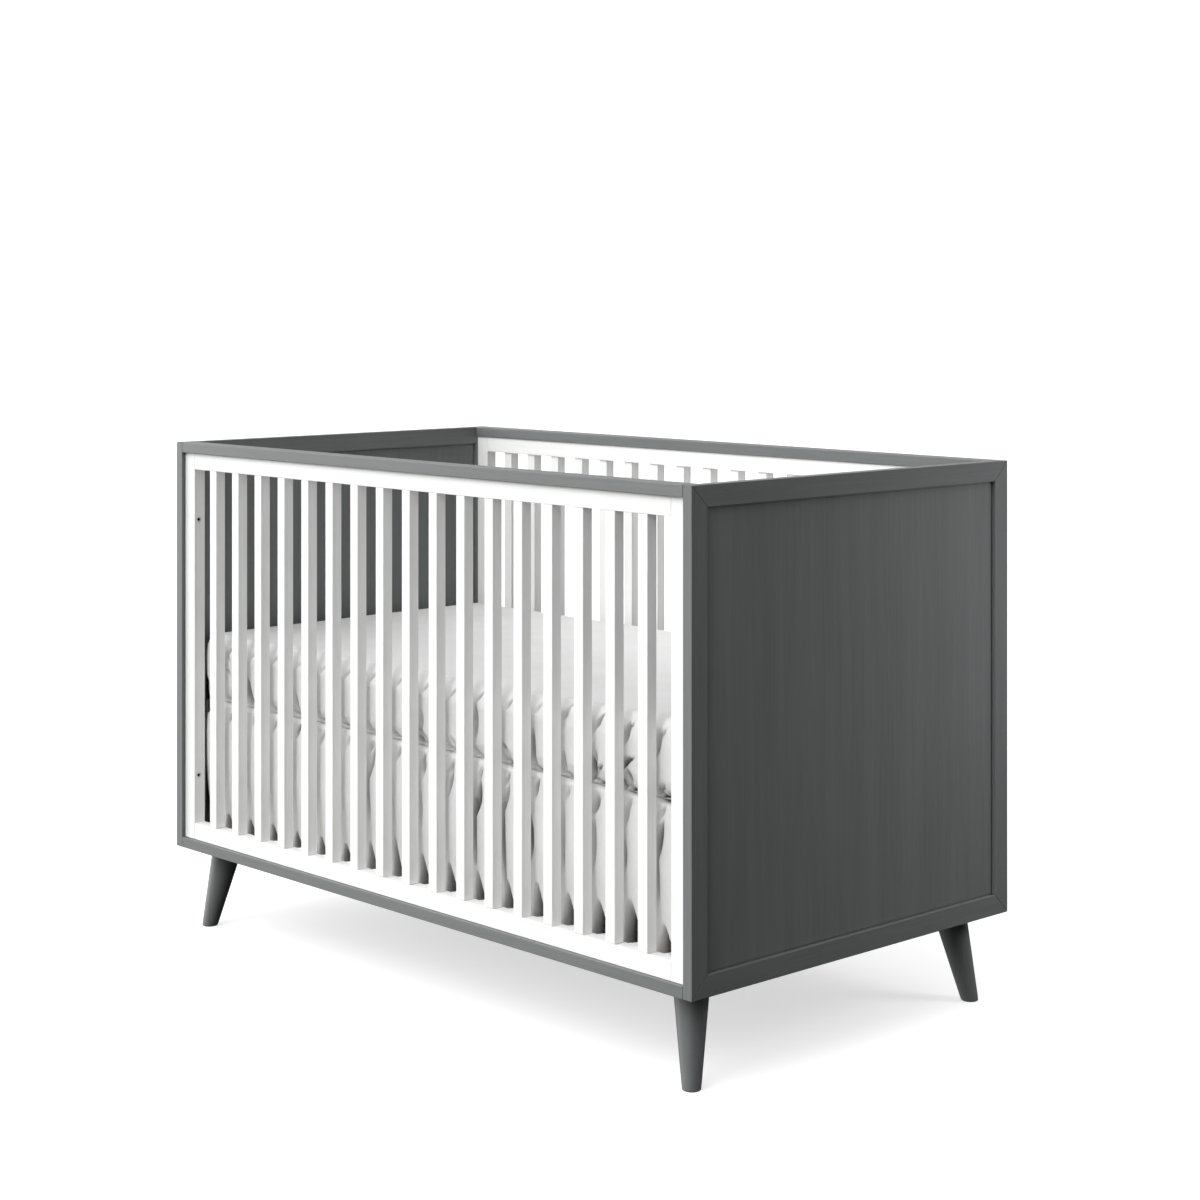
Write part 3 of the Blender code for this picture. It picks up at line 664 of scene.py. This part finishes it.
def gathered(lines, reach):
    """Draws columns together where the cloth shows beside the front slats, but not towards the corners."""
    pitch = slat_place(2) - slat_place(1)
    turn = 2 * math.pi * (lines - slat_place(1) - STRIP_CENTRE) / pitch
    fade = np.clip((reach - np.abs(lines)) / GATHER_FADE, 0, 1)
    return lines - GATHERING * fade * np.sin(turn) * pitch / (2 * math.pi)


def halved(lines):
    """The same coordinates with a new one midway between each two."""
    fine = np.empty(2 * len(lines) - 1)
    fine[0::2] = lines
    fine[1::2] = (lines[1:] + lines[:-1]) / 2
    return fine


def corner_map(points, half, radius):
    """Splits points of a rectangle into a core point and an offset, which is 1 long on the round outline."""
    core = np.clip(points, radius - half, half - radius)
    u, v = np.moveaxis((points - core) / radius, -1, 0)
    offset = np.stack([u * np.sqrt(1 - v * v / 2), v * np.sqrt(1 - u * u / 2)], -1)
    return core, offset


def outline_points(xs, ys):
    """The rectangle's outline, anticlockwise from its front left corner."""
    front = [(x, ys[0]) for x in xs[:-1]]
    right = [(xs[-1], y) for y in ys[:-1]]
    back = [(x, ys[-1]) for x in xs[:0:-1]]
    left = [(xs[0], y) for y in ys[:0:-1]]
    return np.array(front + right + back + left)


class Wall:
    """The upright skin of a box with round corners: columns round its outline, and rows down a profile.

    A profile is a list of (inset from the outline, height). Columns are fanned round the corners.
    """

    def __init__(self, half, radius, xs, ys):
        self.half = np.array(half)
        self.radius = radius
        self.outline = outline_points(xs, ys)
        self.core, self.normal = corner_map(self.outline, self.half, radius)
        at = self.core + self.normal * radius
        step = np.linalg.norm(np.roll(at, -1, 0) - at, axis=1)
        self.run = np.concatenate([[0.0], np.cumsum(step)[:-1]])
        self.length = step.sum()

    def rows(self, profile):
        made = []
        for inset, height in profile:
            flat = self.core + self.normal * (self.radius - inset)
            made.append(np.column_stack([flat, np.full(len(flat), height)]))
        return np.array(made)

    def push(self, rows, depth):
        """Moves each point inwards by its depth."""
        moved = rows.copy()
        moved[..., :2] -= self.normal[None] * depth[..., None]
        return moved

    def puff_corners(self, rows, share):
        """Moves the points of each corner outwards, most of all on its diagonal."""
        diagonal = 2 * np.abs(self.normal[:, 0] * self.normal[:, 1])
        return self.push(rows, -CORNER_PUFF * diagonal[None] * share)

    def hold(self, rows, furthest):
        """Keeps each point within a distance outside the outline."""
        out = ((rows[..., :2] - self.core[None]) * self.normal[None]).sum(-1) - self.radius
        return self.push(rows, np.clip(out - furthest, 0, None))


def doubled(rows):
    """Twice the rows and columns, on smooth curves through the given points. Columns close on themselves."""
    before, after, far = np.roll(rows, 1, 1), np.roll(rows, -1, 1), np.roll(rows, -2, 1)
    wide = np.empty((rows.shape[0], rows.shape[1] * 2, 3))
    wide[:, 0::2] = rows
    wide[:, 1::2] = (9 * (rows + after) - before - far) / 16
    ends = np.concatenate([2 * wide[:1] - wide[1:2], wide, 2 * wide[-1:] - wide[-2:-1]])
    tall = np.empty((rows.shape[0] * 2 - 1, wide.shape[1], 3))
    tall[0::2] = wide
    tall[1::2] = (9 * (ends[1:-2] + ends[2:-1]) - ends[:-3] - ends[3:]) / 16
    return tall


def settle_cloth(name, rows, pinned, pressure):
    """Lets the wall's cloth, cut a little wider than the box, buckle between its pinned rows."""
    height, width = rows.shape[:2]
    bm = bmesh.new()
    points = [bm.verts.new(p) for p in rows.reshape(-1, 3)]
    for r in range(height - 1):
        for c in range(width):
            d = (c + 1) % width
            corners = (r + 1) * width + c, (r + 1) * width + d, r * width + d, r * width + c
            bm.faces.new([points[i] for i in corners])
    mesh = bpy.data.meshes.new(name)
    bm.to_mesh(mesh)
    bm.free()
    cloth_piece = bpy.data.objects.new(name, mesh)
    bpy.context.scene.collection.objects.link(cloth_piece)
    pins = cloth_piece.vertex_groups.new(name="pins")
    for row, weight in pinned.items():
        first = (row % height) * width
        pins.add(list(range(first, first + width)), weight, "REPLACE")
    cloth_piece.shape_key_add(name="basis")
    cut = cloth_piece.shape_key_add(name="cut")
    wider = rows.reshape(-1, 3) * (1 + CLOTH_FULLNESS, 1 + CLOTH_FULLNESS, 1 + CLOTH_FULLNESS * 0.35)
    cut.data.foreach_set("co", wider.ravel())
    cloth = cloth_piece.modifiers.new("cloth", "CLOTH")
    cloth.settings.rest_shape_key = cut
    cloth.settings.vertex_group_mass = "pins"
    cloth.settings.quality = 6
    cloth.settings.mass = 0.12
    cloth.settings.tension_stiffness = 18
    cloth.settings.compression_stiffness = 18
    cloth.settings.shear_stiffness = 4
    cloth.settings.bending_stiffness = CLOTH_BENDING
    cloth.settings.use_pressure = True
    cloth.settings.uniform_pressure_force = pressure
    cloth.settings.effector_weights.gravity = 0.0
    cloth.collision_settings.use_collision = False
    scene = bpy.context.scene
    for frame_number in range(1, CLOTH_FRAMES + 1):
        scene.frame_set(frame_number)
    seen = cloth_piece.evaluated_get(bpy.context.evaluated_depsgraph_get())
    settled = np.empty(height * width * 3)
    seen.data.vertices.foreach_get("co", settled)
    bpy.data.objects.remove(cloth_piece)
    scene.frame_set(1)
    move = settled.reshape(height, width, 3) - rows
    reach = np.linalg.norm(move, axis=-1, keepdims=True)
    return rows + move * np.minimum(1, CLOTH_REACH / np.maximum(reach, 1e-9))


def bump(value, width):
    """1 at 0, falling smoothly to nothing within a few widths."""
    return np.exp(-((value / width) ** 2))


def dent(run, height, place, size, lean):
    """A soft hollow at place = (run, height), of size = (half width, half height), leaning as it rises."""
    across = run - place[0] - lean * (height - place[1])
    return bump(across, size[0]) * bump(height - place[1], size[1])


def slat_runs(wall):
    """The run along the wall beside each front slat, and on round the other sides at the same pitch."""
    pitch = slat_place(2) - slat_place(1)
    start = wall.run[np.argmin(np.abs(wall.outline[:, 0]) + 10 * (wall.outline[:, 1] > 0))]
    first = start + slat_place(1)
    return [first + pitch * number for number in range(int(wall.length / pitch) - 1)]


def slat_place(number):
    """The X of a front slat's middle, counted from 1 at the left."""
    low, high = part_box(f"front_slat_{number:02d}")
    return (low.x + high.x) / 2


def crease(run, height, start, end, width, bow):
    """A V-shaped hollow on a bowed path between two points, widest in its middle and pointed at its ends."""
    dx, dy = end[0] - start[0], end[1] - start[1]
    length = math.hypot(dx, dy)
    share = ((run - start[0]) * dx + (height - start[1]) * dy) / length**2
    inside = np.clip(share, 0, 1)
    arch = 4 * inside * (1 - inside)
    aside = ((height - start[1]) * dx - (run - start[0]) * dy) / length - bow * arch
    beyond = (share - inside) * length
    valley = np.exp(-(np.abs(aside) / (width * (0.4 + 0.6 * arch))) ** 1.5)
    return valley * bump(beyond, width) * (0.3 + 0.7 * arch)


def listed_creases(wall, height, table):
    """The depth of all creases in a table. The front's pattern is repeated along the other sides."""
    run = wall.run[None, :]
    depth = np.zeros_like(height)
    for number, centre in enumerate(slat_runs(wall)):
        for slat, start, end, width, deep, bow in table:
            if slat - 1 == number % len(SEAM_GAPS):
                ends = [(centre + x / 1000, z / 1000) for x, z in (start, end)]
                depth += deep / 1000 * crease(run, height, *ends, width / 1000, bow / 1000)
    return depth


def seam_opening(wall, height, reach):
    """How far both edges of the seam draw in: most of all at the right of each slat's gap."""
    run = wall.run[None, :]
    depth = np.zeros_like(height)
    for number, centre in enumerate(slat_runs(wall)):
        gap = SEAM_GAPS[number % len(SEAM_GAPS)] / 1000
        width = np.where(run < centre + SEAM_GAP_PLACE, SEAM_GAP_LEFT, SEAM_GAP_RIGHT)
        across = (run - centre - SEAM_GAP_PLACE) / width
        depth += 0.5 * gap * np.exp(-(across**2)) * bump(height, reach * (0.5 + gap / 0.008))
    return depth


def sheet_swells(wall, rows, seam, top):
    """Broad hollows of the fitted sheet's side, before the cloth settles: ripples, and a long dent each."""
    run = wall.run[None, :]
    height = rows[..., 2] - seam
    tall = top - seam
    depth = 0.0008 * np.sin(run / 0.0115) * bump(height - tall / 2, 0.05)
    rng = np.random.default_rng(SHEET_SEED)
    for number, centre in enumerate(slat_runs(wall)):
        strength, share = LONG_DENTS[number % len(LONG_DENTS)]
        wander = rng.uniform(-1, 1, 2)
        place = centre + 0.002 + 0.0015 * wander[0], tall * share + 0.004 * wander[1]
        depth += LONG_DENT_DEPTH * strength * dent(run, height, place, LONG_DENT_SIZE, 0.15)
    return depth


def sheet_creases(wall, rows, seam, top):
    """Fine hollows of the sheet's side: its listed creases, a comma under its top edge, and seam puckers."""
    run = wall.run[None, :]
    height = rows[..., 2] - seam
    tall = top - seam
    depth = listed_creases(wall, height, SHEET_CREASES) + seam_opening(wall, height, SHEET_SEAM_FADE)
    rng = np.random.default_rng(SHEET_SEED)
    for centre in slat_runs(wall):
        wander = rng.uniform(-1, 1, 6)
        comma = centre + 0.012 + 0.002 * wander[0], tall - 0.022 + 0.003 * wander[1]
        depth += (COMMA_DEPTH + 0.0015 * wander[2]) * dent(run, height, comma, COMMA_SIZE, 0.50)
        for level, (rise, deep) in enumerate(PUCKERS):
            along_path = np.clip((centre + 0.024 - run) / 0.028, 0, 1.3)
            path = rise * (1 + 0.25 * wander[3 + level]) * along_path**1.4 + 0.001
            reach = bump(run - centre - 0.010, 0.011)
            depth += PUCKER_DEPTH * deep * reach * np.exp(-(np.abs(height - path) / 0.0020) ** 1.4)
    return depth


def skirt_creases(wall, rows, seam, hem):
    """Hollows of the skirt: a dimple under the seam, long creases, and the tucks that its hem draws in.

    The front's last tuck lies furthest right of its slat. Each one before it lies a little further left.
    """
    run = wall.run[None, :]
    drop = seam - rows[..., 2]
    rise = rows[..., 2] - hem
    depth = listed_creases(wall, drop, SKIRT_CREASES) + seam_opening(wall, drop, SKIRT_SEAM_FADE)
    rng = np.random.default_rng(SKIRT_SEED)
    for number, centre in enumerate(slat_runs(wall)):
        slat = number % len(HEM_TUCKS)
        tall, half_width = HEM_TUCKS[slat]
        wander = rng.uniform(-1, 1, 4)
        dimple = centre + 0.012 + 0.003 * wander[0], 0.024 + 0.004 * wander[1]
        depth += (DIMPLE_DEPTH + 0.0015 * wander[2]) * dent(run, drop, dimple, DIMPLE_SIZE, -0.35)
        share = np.clip(1 - (rise - 0.010) / (tall / 1000), 0, 1.3)
        place = centre + HEM_TUCK_PLACE - HEM_TUCK_SHIFT * (len(HEM_TUCKS) - 1 - slat) + 0.0015 * wander[3]
        across = (run - place) / (half_width / 1000 * (0.25 + 0.75 * share))
        depth += HEM_TUCK_DEPTH * np.minimum(share, 1) * np.exp(-(np.abs(across) ** 3))
    return depth


def skin_object(name, material, rows, lid=None):
    """One mesh from a wall's rows, closed round, and an optional lid that meets its first row.

    A lid is its grid of points and the way it faces: 1 up, -1 down.
    """
    height, width = rows.shape[:2]
    vertices = [rows.reshape(-1, 3)]
    r, c = np.meshgrid(np.arange(height - 1), np.arange(width), indexing="ij")
    d = (c + 1) % width
    quads = np.stack([(r + 1) * width + c, (r + 1) * width + d, r * width + d, r * width + c], -1)
    faces = [quads.reshape(-1, 4)]
    if lid is not None:
        points, facing = lid
        inner = ~points_on_edge(points.shape[:2])
        index = np.empty(points.shape[:2], int)
        index[inner] = height * width + np.arange(inner.sum())
        index[edge_order(points.shape[:2])] = np.arange(width)
        vertices.append(points[inner])
        corners = index[:-1, :-1], index[1:, :-1], index[1:, 1:], index[:-1, 1:]
        grid = np.stack(corners, -1).reshape(-1, 4)
        faces.append(grid if facing > 0 else grid[:, ::-1])
    vertices = np.concatenate(vertices)
    faces = np.concatenate(faces)
    mesh = bpy.data.meshes.new(name)
    mesh.vertices.add(len(vertices))
    mesh.vertices.foreach_set("co", vertices.ravel())
    mesh.loops.add(faces.size)
    mesh.loops.foreach_set("vertex_index", faces.ravel())
    mesh.polygons.add(len(faces))
    mesh.polygons.foreach_set("loop_start", np.arange(0, faces.size, 4))
    mesh.update()
    mesh.validate()
    mesh.materials.append(material)
    mesh.shade_smooth()
    piece = bpy.data.objects.new(name, mesh)
    bpy.context.scene.collection.objects.link(piece)
    return piece


def paint_fold_shade(piece, depth):
    """Stores painted shade for each point of the wall, by how deep in folds it lies. Points after the wall's
    get none.
    """
    share = np.zeros(len(piece.data.vertices))
    share[: depth.size] = np.clip(depth.ravel() / FULL_PAINTED_SHADE_DEPTH, 0, 1) ** PAINTED_SHADE_CURVE
    painted_shade = piece.data.attributes.new("painted_shade", "FLOAT", "POINT")
    painted_shade.data.foreach_set("value", share)


def points_on_edge(shape):
    """A grid of flags, set along its border."""
    edge = np.zeros(shape, bool)
    edge[0] = edge[-1] = edge[:, 0] = edge[:, -1] = True
    return edge


def edge_order(shape):
    """The edge points of a grid in outline order. The grid's first index runs along X, its second along Y."""
    nx, ny = shape
    x = list(range(nx - 1)) + [nx - 1] * (ny - 1) + list(range(nx - 1, 0, -1)) + [0] * (ny - 1)
    y = [0] * (nx - 1) + list(range(ny - 1)) + [ny - 1] * (nx - 1) + list(range(ny - 1, 0, -1))
    return np.array(x), np.array(y)


def lid_grid(half, radius, inset, xs, ys, height):
    """A level grid inside the outline, drawn in by `inset`."""
    flat = np.stack(np.meshgrid(xs, ys, indexing="ij"), -1)
    core, offset = corner_map(flat, np.array(half), radius)
    flat = core + offset * (radius - inset)
    return np.concatenate([flat, np.full((*flat.shape[:2], 1), height)], -1)


def rounded_profile(edge_radius, top, bottom, swell, steps, arc_steps, waist=0.0):
    """Down a box's side: a quarter round, then a wall that swells outwards and comes back to its waist."""
    profile = []
    for angle in quarter_round(arc_steps):
        profile.append((edge_radius * (1 - math.sin(angle)), top - edge_radius * (1 - math.cos(angle))))
    start = top - edge_radius
    for step in range(1, steps + 1):
        share = step / steps
        profile.append((waist * share**6, start + (bottom - start) * share))
    return [(inset - swell * swell_share(top, bottom, height), height) for inset, height in profile]


def swell_share(top, bottom, height):
    """The swell at a height, as a share of the most: nothing at both ends, and fullest near the middle."""
    share = (top - height) / (top - bottom)
    return math.sin(math.pi * share**0.9) ** 0.8 if 0 < share < 1 else 0.0


def make_fitted_sheet(cotton):
    """The sheet: a smooth top, sides that puff out and pucker at the seam, and a hem drawn in underneath."""
    low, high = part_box("mattress")
    half = high.x, high.y
    seam, top = low.z + SHEET_RISE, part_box("fitted_sheet")[1].z - 0.0006
    xs = gathered(grid_lines(half[0], CORNER_RADIUS, 2 * FINE_STEP), half[0] - CORNER_RADIUS)
    ys = grid_lines(half[1], CORNER_RADIUS, 2 * END_STEP)
    wall = Wall(half, CORNER_RADIUS, xs, ys)
    steps = SHEET_WALL_ROWS, SHEET_EDGE_ROWS
    rows = wall.rows(rounded_profile(SHEET_EDGE, top, seam, SHEET_SWELL, *steps, SHEET_WAIST))
    rows = wall.push(rows, sheet_swells(wall, rows, seam, top))
    pinned = {0: 1.0, 1: 0.6, -2: 0.3, -1: 1.0}
    rows = settle_cloth("sheet_cloth", rows, pinned, 1.5)
    rows = wall.hold(rows, BULGE_LIMIT)
    share = np.clip((rows[..., 2] - seam) / (top - seam), 0, 1)
    rows = wall.puff_corners(rows, np.sin(math.pi * share))
    fine = Wall(half, CORNER_RADIUS, halved(xs), halved(ys))
    rows = doubled(rows)
    depth = sheet_creases(fine, rows, seam, top)
    rows = fine.push(rows, depth)
    lid = lid_grid(half, CORNER_RADIUS, SHEET_EDGE, halved(xs), halved(ys), top)
    lid[..., 2] += crown(lid, half)
    rows[0] = lid[edge_order(lid.shape[:2])]
    hem = fine.rows([(0.0030, seam - 0.0004), (0.010, seam - 0.0004), (0.03, seam - 0.0002), (0.06, seam)])
    rows = np.concatenate([rows, hem])
    sheet = skin_object("cotton_sheet", cotton, rows, (lid, 1))
    # Painted shade in the sheet's folds, and more of it where the seam opens
    opening = seam_opening(fine, rows[: len(depth), :, 2] - seam, SEAM_PAINTED_SHADE_FADE)
    paint_fold_shade(sheet, depth + SEAM_PAINTED_SHADE * opening)
    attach(sheet, "mattress")
    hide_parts("fitted_sheet")


def crown(points, half):
    """How far the mattress top rises inside its edges, with a few faint hollows."""
    x, y = points[..., 0] / half[0], points[..., 1] / half[1]
    dome = np.sqrt(np.clip((1 - x**4) * (1 - y**4), 0, 1))
    waves = np.sin(9 * x + 2 * y) * np.sin(4 * y - 3 * x) + 0.6 * np.sin(17 * x) * np.sin(7 * y + 1)
    return (0.0012 + 0.0007 * waves) * dome


def make_mattress(ticking):
    """The foam core in its ticking: a box with round corners, a soft top edge and a tighter bottom one."""
    low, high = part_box("mattress")
    half = high.x - CORE_INSET, high.y - CORE_INSET
    xs, ys = [grid_lines(reach, CORE_CORNER, CORE_STEP) for reach in half]
    wall = Wall(half, CORE_CORNER, xs, ys)
    bottom, top = low.z + 0.0025, high.z - 0.003
    profile = rounded_profile(CORE_TOP_EDGE, top, bottom + CORE_BOTTOM_EDGE, 0.0, 10, 5)
    for angle in quarter_round(4)[1:]:
        inset = CORE_BOTTOM_EDGE * (1 - math.cos(angle))
        profile.append((inset, bottom + CORE_BOTTOM_EDGE * (1 - math.sin(angle))))
    lid = lid_grid(half, CORE_CORNER, CORE_TOP_EDGE, xs, ys, top)
    floor = lid_grid(half, CORE_CORNER, CORE_BOTTOM_EDGE, xs, ys, bottom)
    rows = wall.rows(profile)
    mattress = skin_object("foam_mattress", ticking, rows, (lid, 1))
    base = skin_object("mattress_base", ticking, rows[-1:], (floor, -1))
    bm = bmesh.new()
    bm.from_mesh(mattress.data)
    bm.from_mesh(base.data)
    bmesh.ops.remove_doubles(bm, verts=bm.verts, dist=WELD_DISTANCE)
    bm.to_mesh(mattress.data)
    bm.free()
    bpy.data.objects.remove(base)
    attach(mattress, "mattress")
    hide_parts("mattress")


def make_skirt(cotton):
    """The skirt: a deck under the mattress, and a gathered flounce that hangs from the deck's edge."""
    low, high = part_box("crib_skirt")
    mattress_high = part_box("mattress")[1]
    half = mattress_high.x, mattress_high.y
    seam, hem = high.z + 0.0004, low.z
    xs = gathered(grid_lines(half[0], CORNER_RADIUS, 2 * FINE_STEP), half[0] - CORNER_RADIUS)
    ys = grid_lines(half[1], CORNER_RADIUS, 2 * END_STEP)
    wall = Wall(half, CORNER_RADIUS, xs, ys)
    profile = []
    for share in np.linspace(0, 1, SKIRT_ROWS):
        swell = SKIRT_SWELL * math.sin(math.pi * share**0.62) - SKIRT_TUCK * share**5
        edge = 0.0035 * bump(share * (seam - hem), 0.003)
        profile.append((edge - swell, seam + (hem - seam) * share))
    rows = wall.rows(profile)
    ripple = 0.0009 * np.sin(wall.run[None, :] / 0.0135 + 1.0) * np.clip((seam - rows[..., 2]) / 0.04, 0, 1)
    rows = wall.push(rows, ripple)
    pinned = {0: 1.0, 1: 0.5, -1: 0.9}
    rows = settle_cloth("skirt_cloth", rows, pinned, 1.0)
    rows = wall.hold(rows, BULGE_LIMIT)
    share = np.clip((seam - rows[..., 2]) / (seam - hem), 0, 1)
    rows = wall.puff_corners(rows, np.sin(math.pi * share**0.62))
    rows = doubled(rows)
    fine = Wall(half, CORNER_RADIUS, halved(xs), halved(ys))
    depth = skirt_creases(fine, rows, seam, hem)
    rows = fine.push(rows, depth)
    skirt = skin_object("skirt_flounce", cotton, rows)
    # Painted shade in the skirt's folds and hem tucks, and more of it where the seam opens
    paint_fold_shade(skirt, depth + SEAM_PAINTED_SHADE * seam_opening(fine, seam - rows[..., 2], SEAM_PAINTED_SHADE_FADE))
    notch_corners(skirt)
    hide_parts("crib_skirt")
    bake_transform(skirt)
    deck_lines = [grid_lines(reach, CORNER_RADIUS, DECK_STEP) for reach in half]
    lid = lid_grid(half, CORNER_RADIUS, 0.0040, *deck_lines, seam - 0.0002)
    edge = lid[edge_order(lid.shape[:2])][None]
    deck = skin_object("skirt_deck", cotton, edge, (lid, 1))
    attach(deck, "support")
    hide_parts("crib_skirt")


def notch_corners(skirt):
    """Opens the flounce under its seam where the support's lugs pass through to their brackets."""
    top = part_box("mattress_support")[1].z
    bm = bmesh.new()
    bm.from_mesh(skirt.data)
    gone = []
    for face in bm.faces:
        spot = face.calc_center_median()
        beside = abs(abs(spot.x) - LUG_CENTRE) < LUG_ROOM / 2 and abs(spot.y) > LUG_REACH
        if beside and top - LUG_DROP < spot.z < top + 0.001:
            gone.append(face)
    bmesh.ops.delete(bm, geom=gone, context="FACES")
    bm.to_mesh(skirt.data)
    bm.free()


# Studio


def make_floor():
    """A bright floor that shows the crib's soft shadow but lights nothing itself."""
    bm = bmesh.new()
    bmesh.ops.create_grid(bm, x_segments=8, y_segments=8, size=FLOOR_SIZE)
    material, tree, shader = start_material("studio_floor", Roughness=0.9, Specular_IOR_Level=0.0)
    tone = noise_value(tree, object_place(tree), 1.5, 2.0)
    colour = mix_colours(tree, tone, (0.56, 0.56, 0.56), (0.57, 0.57, 0.57))
    tree.links.new(colour, shader.inputs["Base Color"])
    shader.inputs["Emission Color"].default_value = (1.0, 1.0, 1.0, 1.0)
    shader.inputs["Emission Strength"].default_value = FLOOR_GLOW
    floor = make_mesh_object("studio_floor", bm, material)
    floor.visible_diffuse = False
    floor.visible_glossy = False
    floor.visible_shadow = False


def make_world():
    """A soft studio: glows of several widths light the crib, and the camera sees a white backdrop."""
    world = bpy.data.worlds.new("studio")
    bpy.context.scene.world = world
    world.use_nodes = True
    tree = world.node_tree
    tree.nodes.clear()
    direction = add_node(tree, "ShaderNodeTexCoord").outputs["Generated"]
    total = 0.0
    for azimuth, elevation, strength, narrowness in GLOWS:
        turn, rise = math.radians(azimuth), math.radians(elevation)
        centre = math.cos(turn) * math.cos(rise), math.sin(turn) * math.cos(rise), math.sin(rise)
        inputs = {0: direction, 1: centre}
        cosine = add_node(tree, "ShaderNodeVectorMath", inputs, operation="DOT_PRODUCT").outputs["Value"]
        fall = compute(tree, "MULTIPLY", compute(tree, "SUBTRACT", cosine, 1.0), narrowness)
        glow = compute(tree, "MULTIPLY", compute(tree, "EXPONENT", fall), strength)
        total = compute(tree, "ADD", glow, total)
    lighting = add_node(tree, "ShaderNodeBackground", {"Color": (1, 1, 1, 1), "Strength": total})
    seen = add_node(tree, "ShaderNodeBackground", {"Color": (1, 1, 1, 1), "Strength": BACKDROP_GLOW})
    ray = add_node(tree, "ShaderNodeLightPath").outputs["Is Camera Ray"]
    mixed = add_node(tree, "ShaderNodeMixShader", {0: ray, 1: lighting.outputs[0], 2: seen.outputs[0]})
    output = tree.nodes.new("ShaderNodeOutputWorld")
    tree.links.new(mixed.outputs[0], output.inputs["Surface"])


def make_camera():
    data = bpy.data.cameras.new("camera")
    data.lens = CAMERA_LENS
    data.sensor_width = 36.0
    data.shift_y = CAMERA_SHIFT
    data.clip_end = 200.0
    camera = bpy.data.objects.new("camera", data)
    camera.location = CAMERA_PLACE
    camera.rotation_euler = [math.radians(angle) for angle in CAMERA_TURN]
    bpy.context.scene.collection.objects.link(camera)
    bpy.context.scene.camera = camera


def make_end_light():
    """A soft box near the back of the right end, so that the end panel brightens towards its back."""
    data = bpy.data.lights.new("end_light", "AREA")
    data.shape = "DISK"
    data.size = END_LIGHT_SIZE
    data.energy = END_LIGHT_POWER
    light = bpy.data.objects.new("end_light", data)
    light.location = END_LIGHT_PLACE
    facing = Vector(END_LIGHT_AIM) - Vector(END_LIGHT_PLACE)
    light.rotation_euler = facing.to_track_quat("-Z", "Y").to_euler()
    light.visible_camera = False
    light.visible_glossy = False
    bpy.context.scene.collection.objects.link(light)


def make_studio():
    make_camera()
    make_world()
    make_end_light()
    make_floor()
    scene = bpy.context.scene
    scene.view_settings.view_transform = "Standard"
    scene.view_settings.look = "None"


def main():
    make_studio()
    finishes = make_grained()
    dress_hard_nodes(finishes)
    back_side_pieces(finishes)
    for side in SIDES:
        for end in ENDS:
            turned_leg(side, end, finishes)
            for level in ("upper", "lower"):
                socket_bolt(side, end, level, finishes)
    cotton = woven("white_cotton", (0.69, 0.69, 0.687), (0.75, 0.75, 0.747), 0.0009, 70.0, 0.85)
    skirting = woven("skirt_cotton", (0.69, 0.69, 0.687), (0.75, 0.75, 0.747), 0.0011, 60.0, 0.85)
    ticking = woven("mattress_ticking", (0.74, 0.74, 0.73), (0.80, 0.80, 0.79), 0.0016, 50.0, 0.8)
    make_mattress(ticking)
    make_fitted_sheet(cotton)
    make_skirt(skirting)


main()
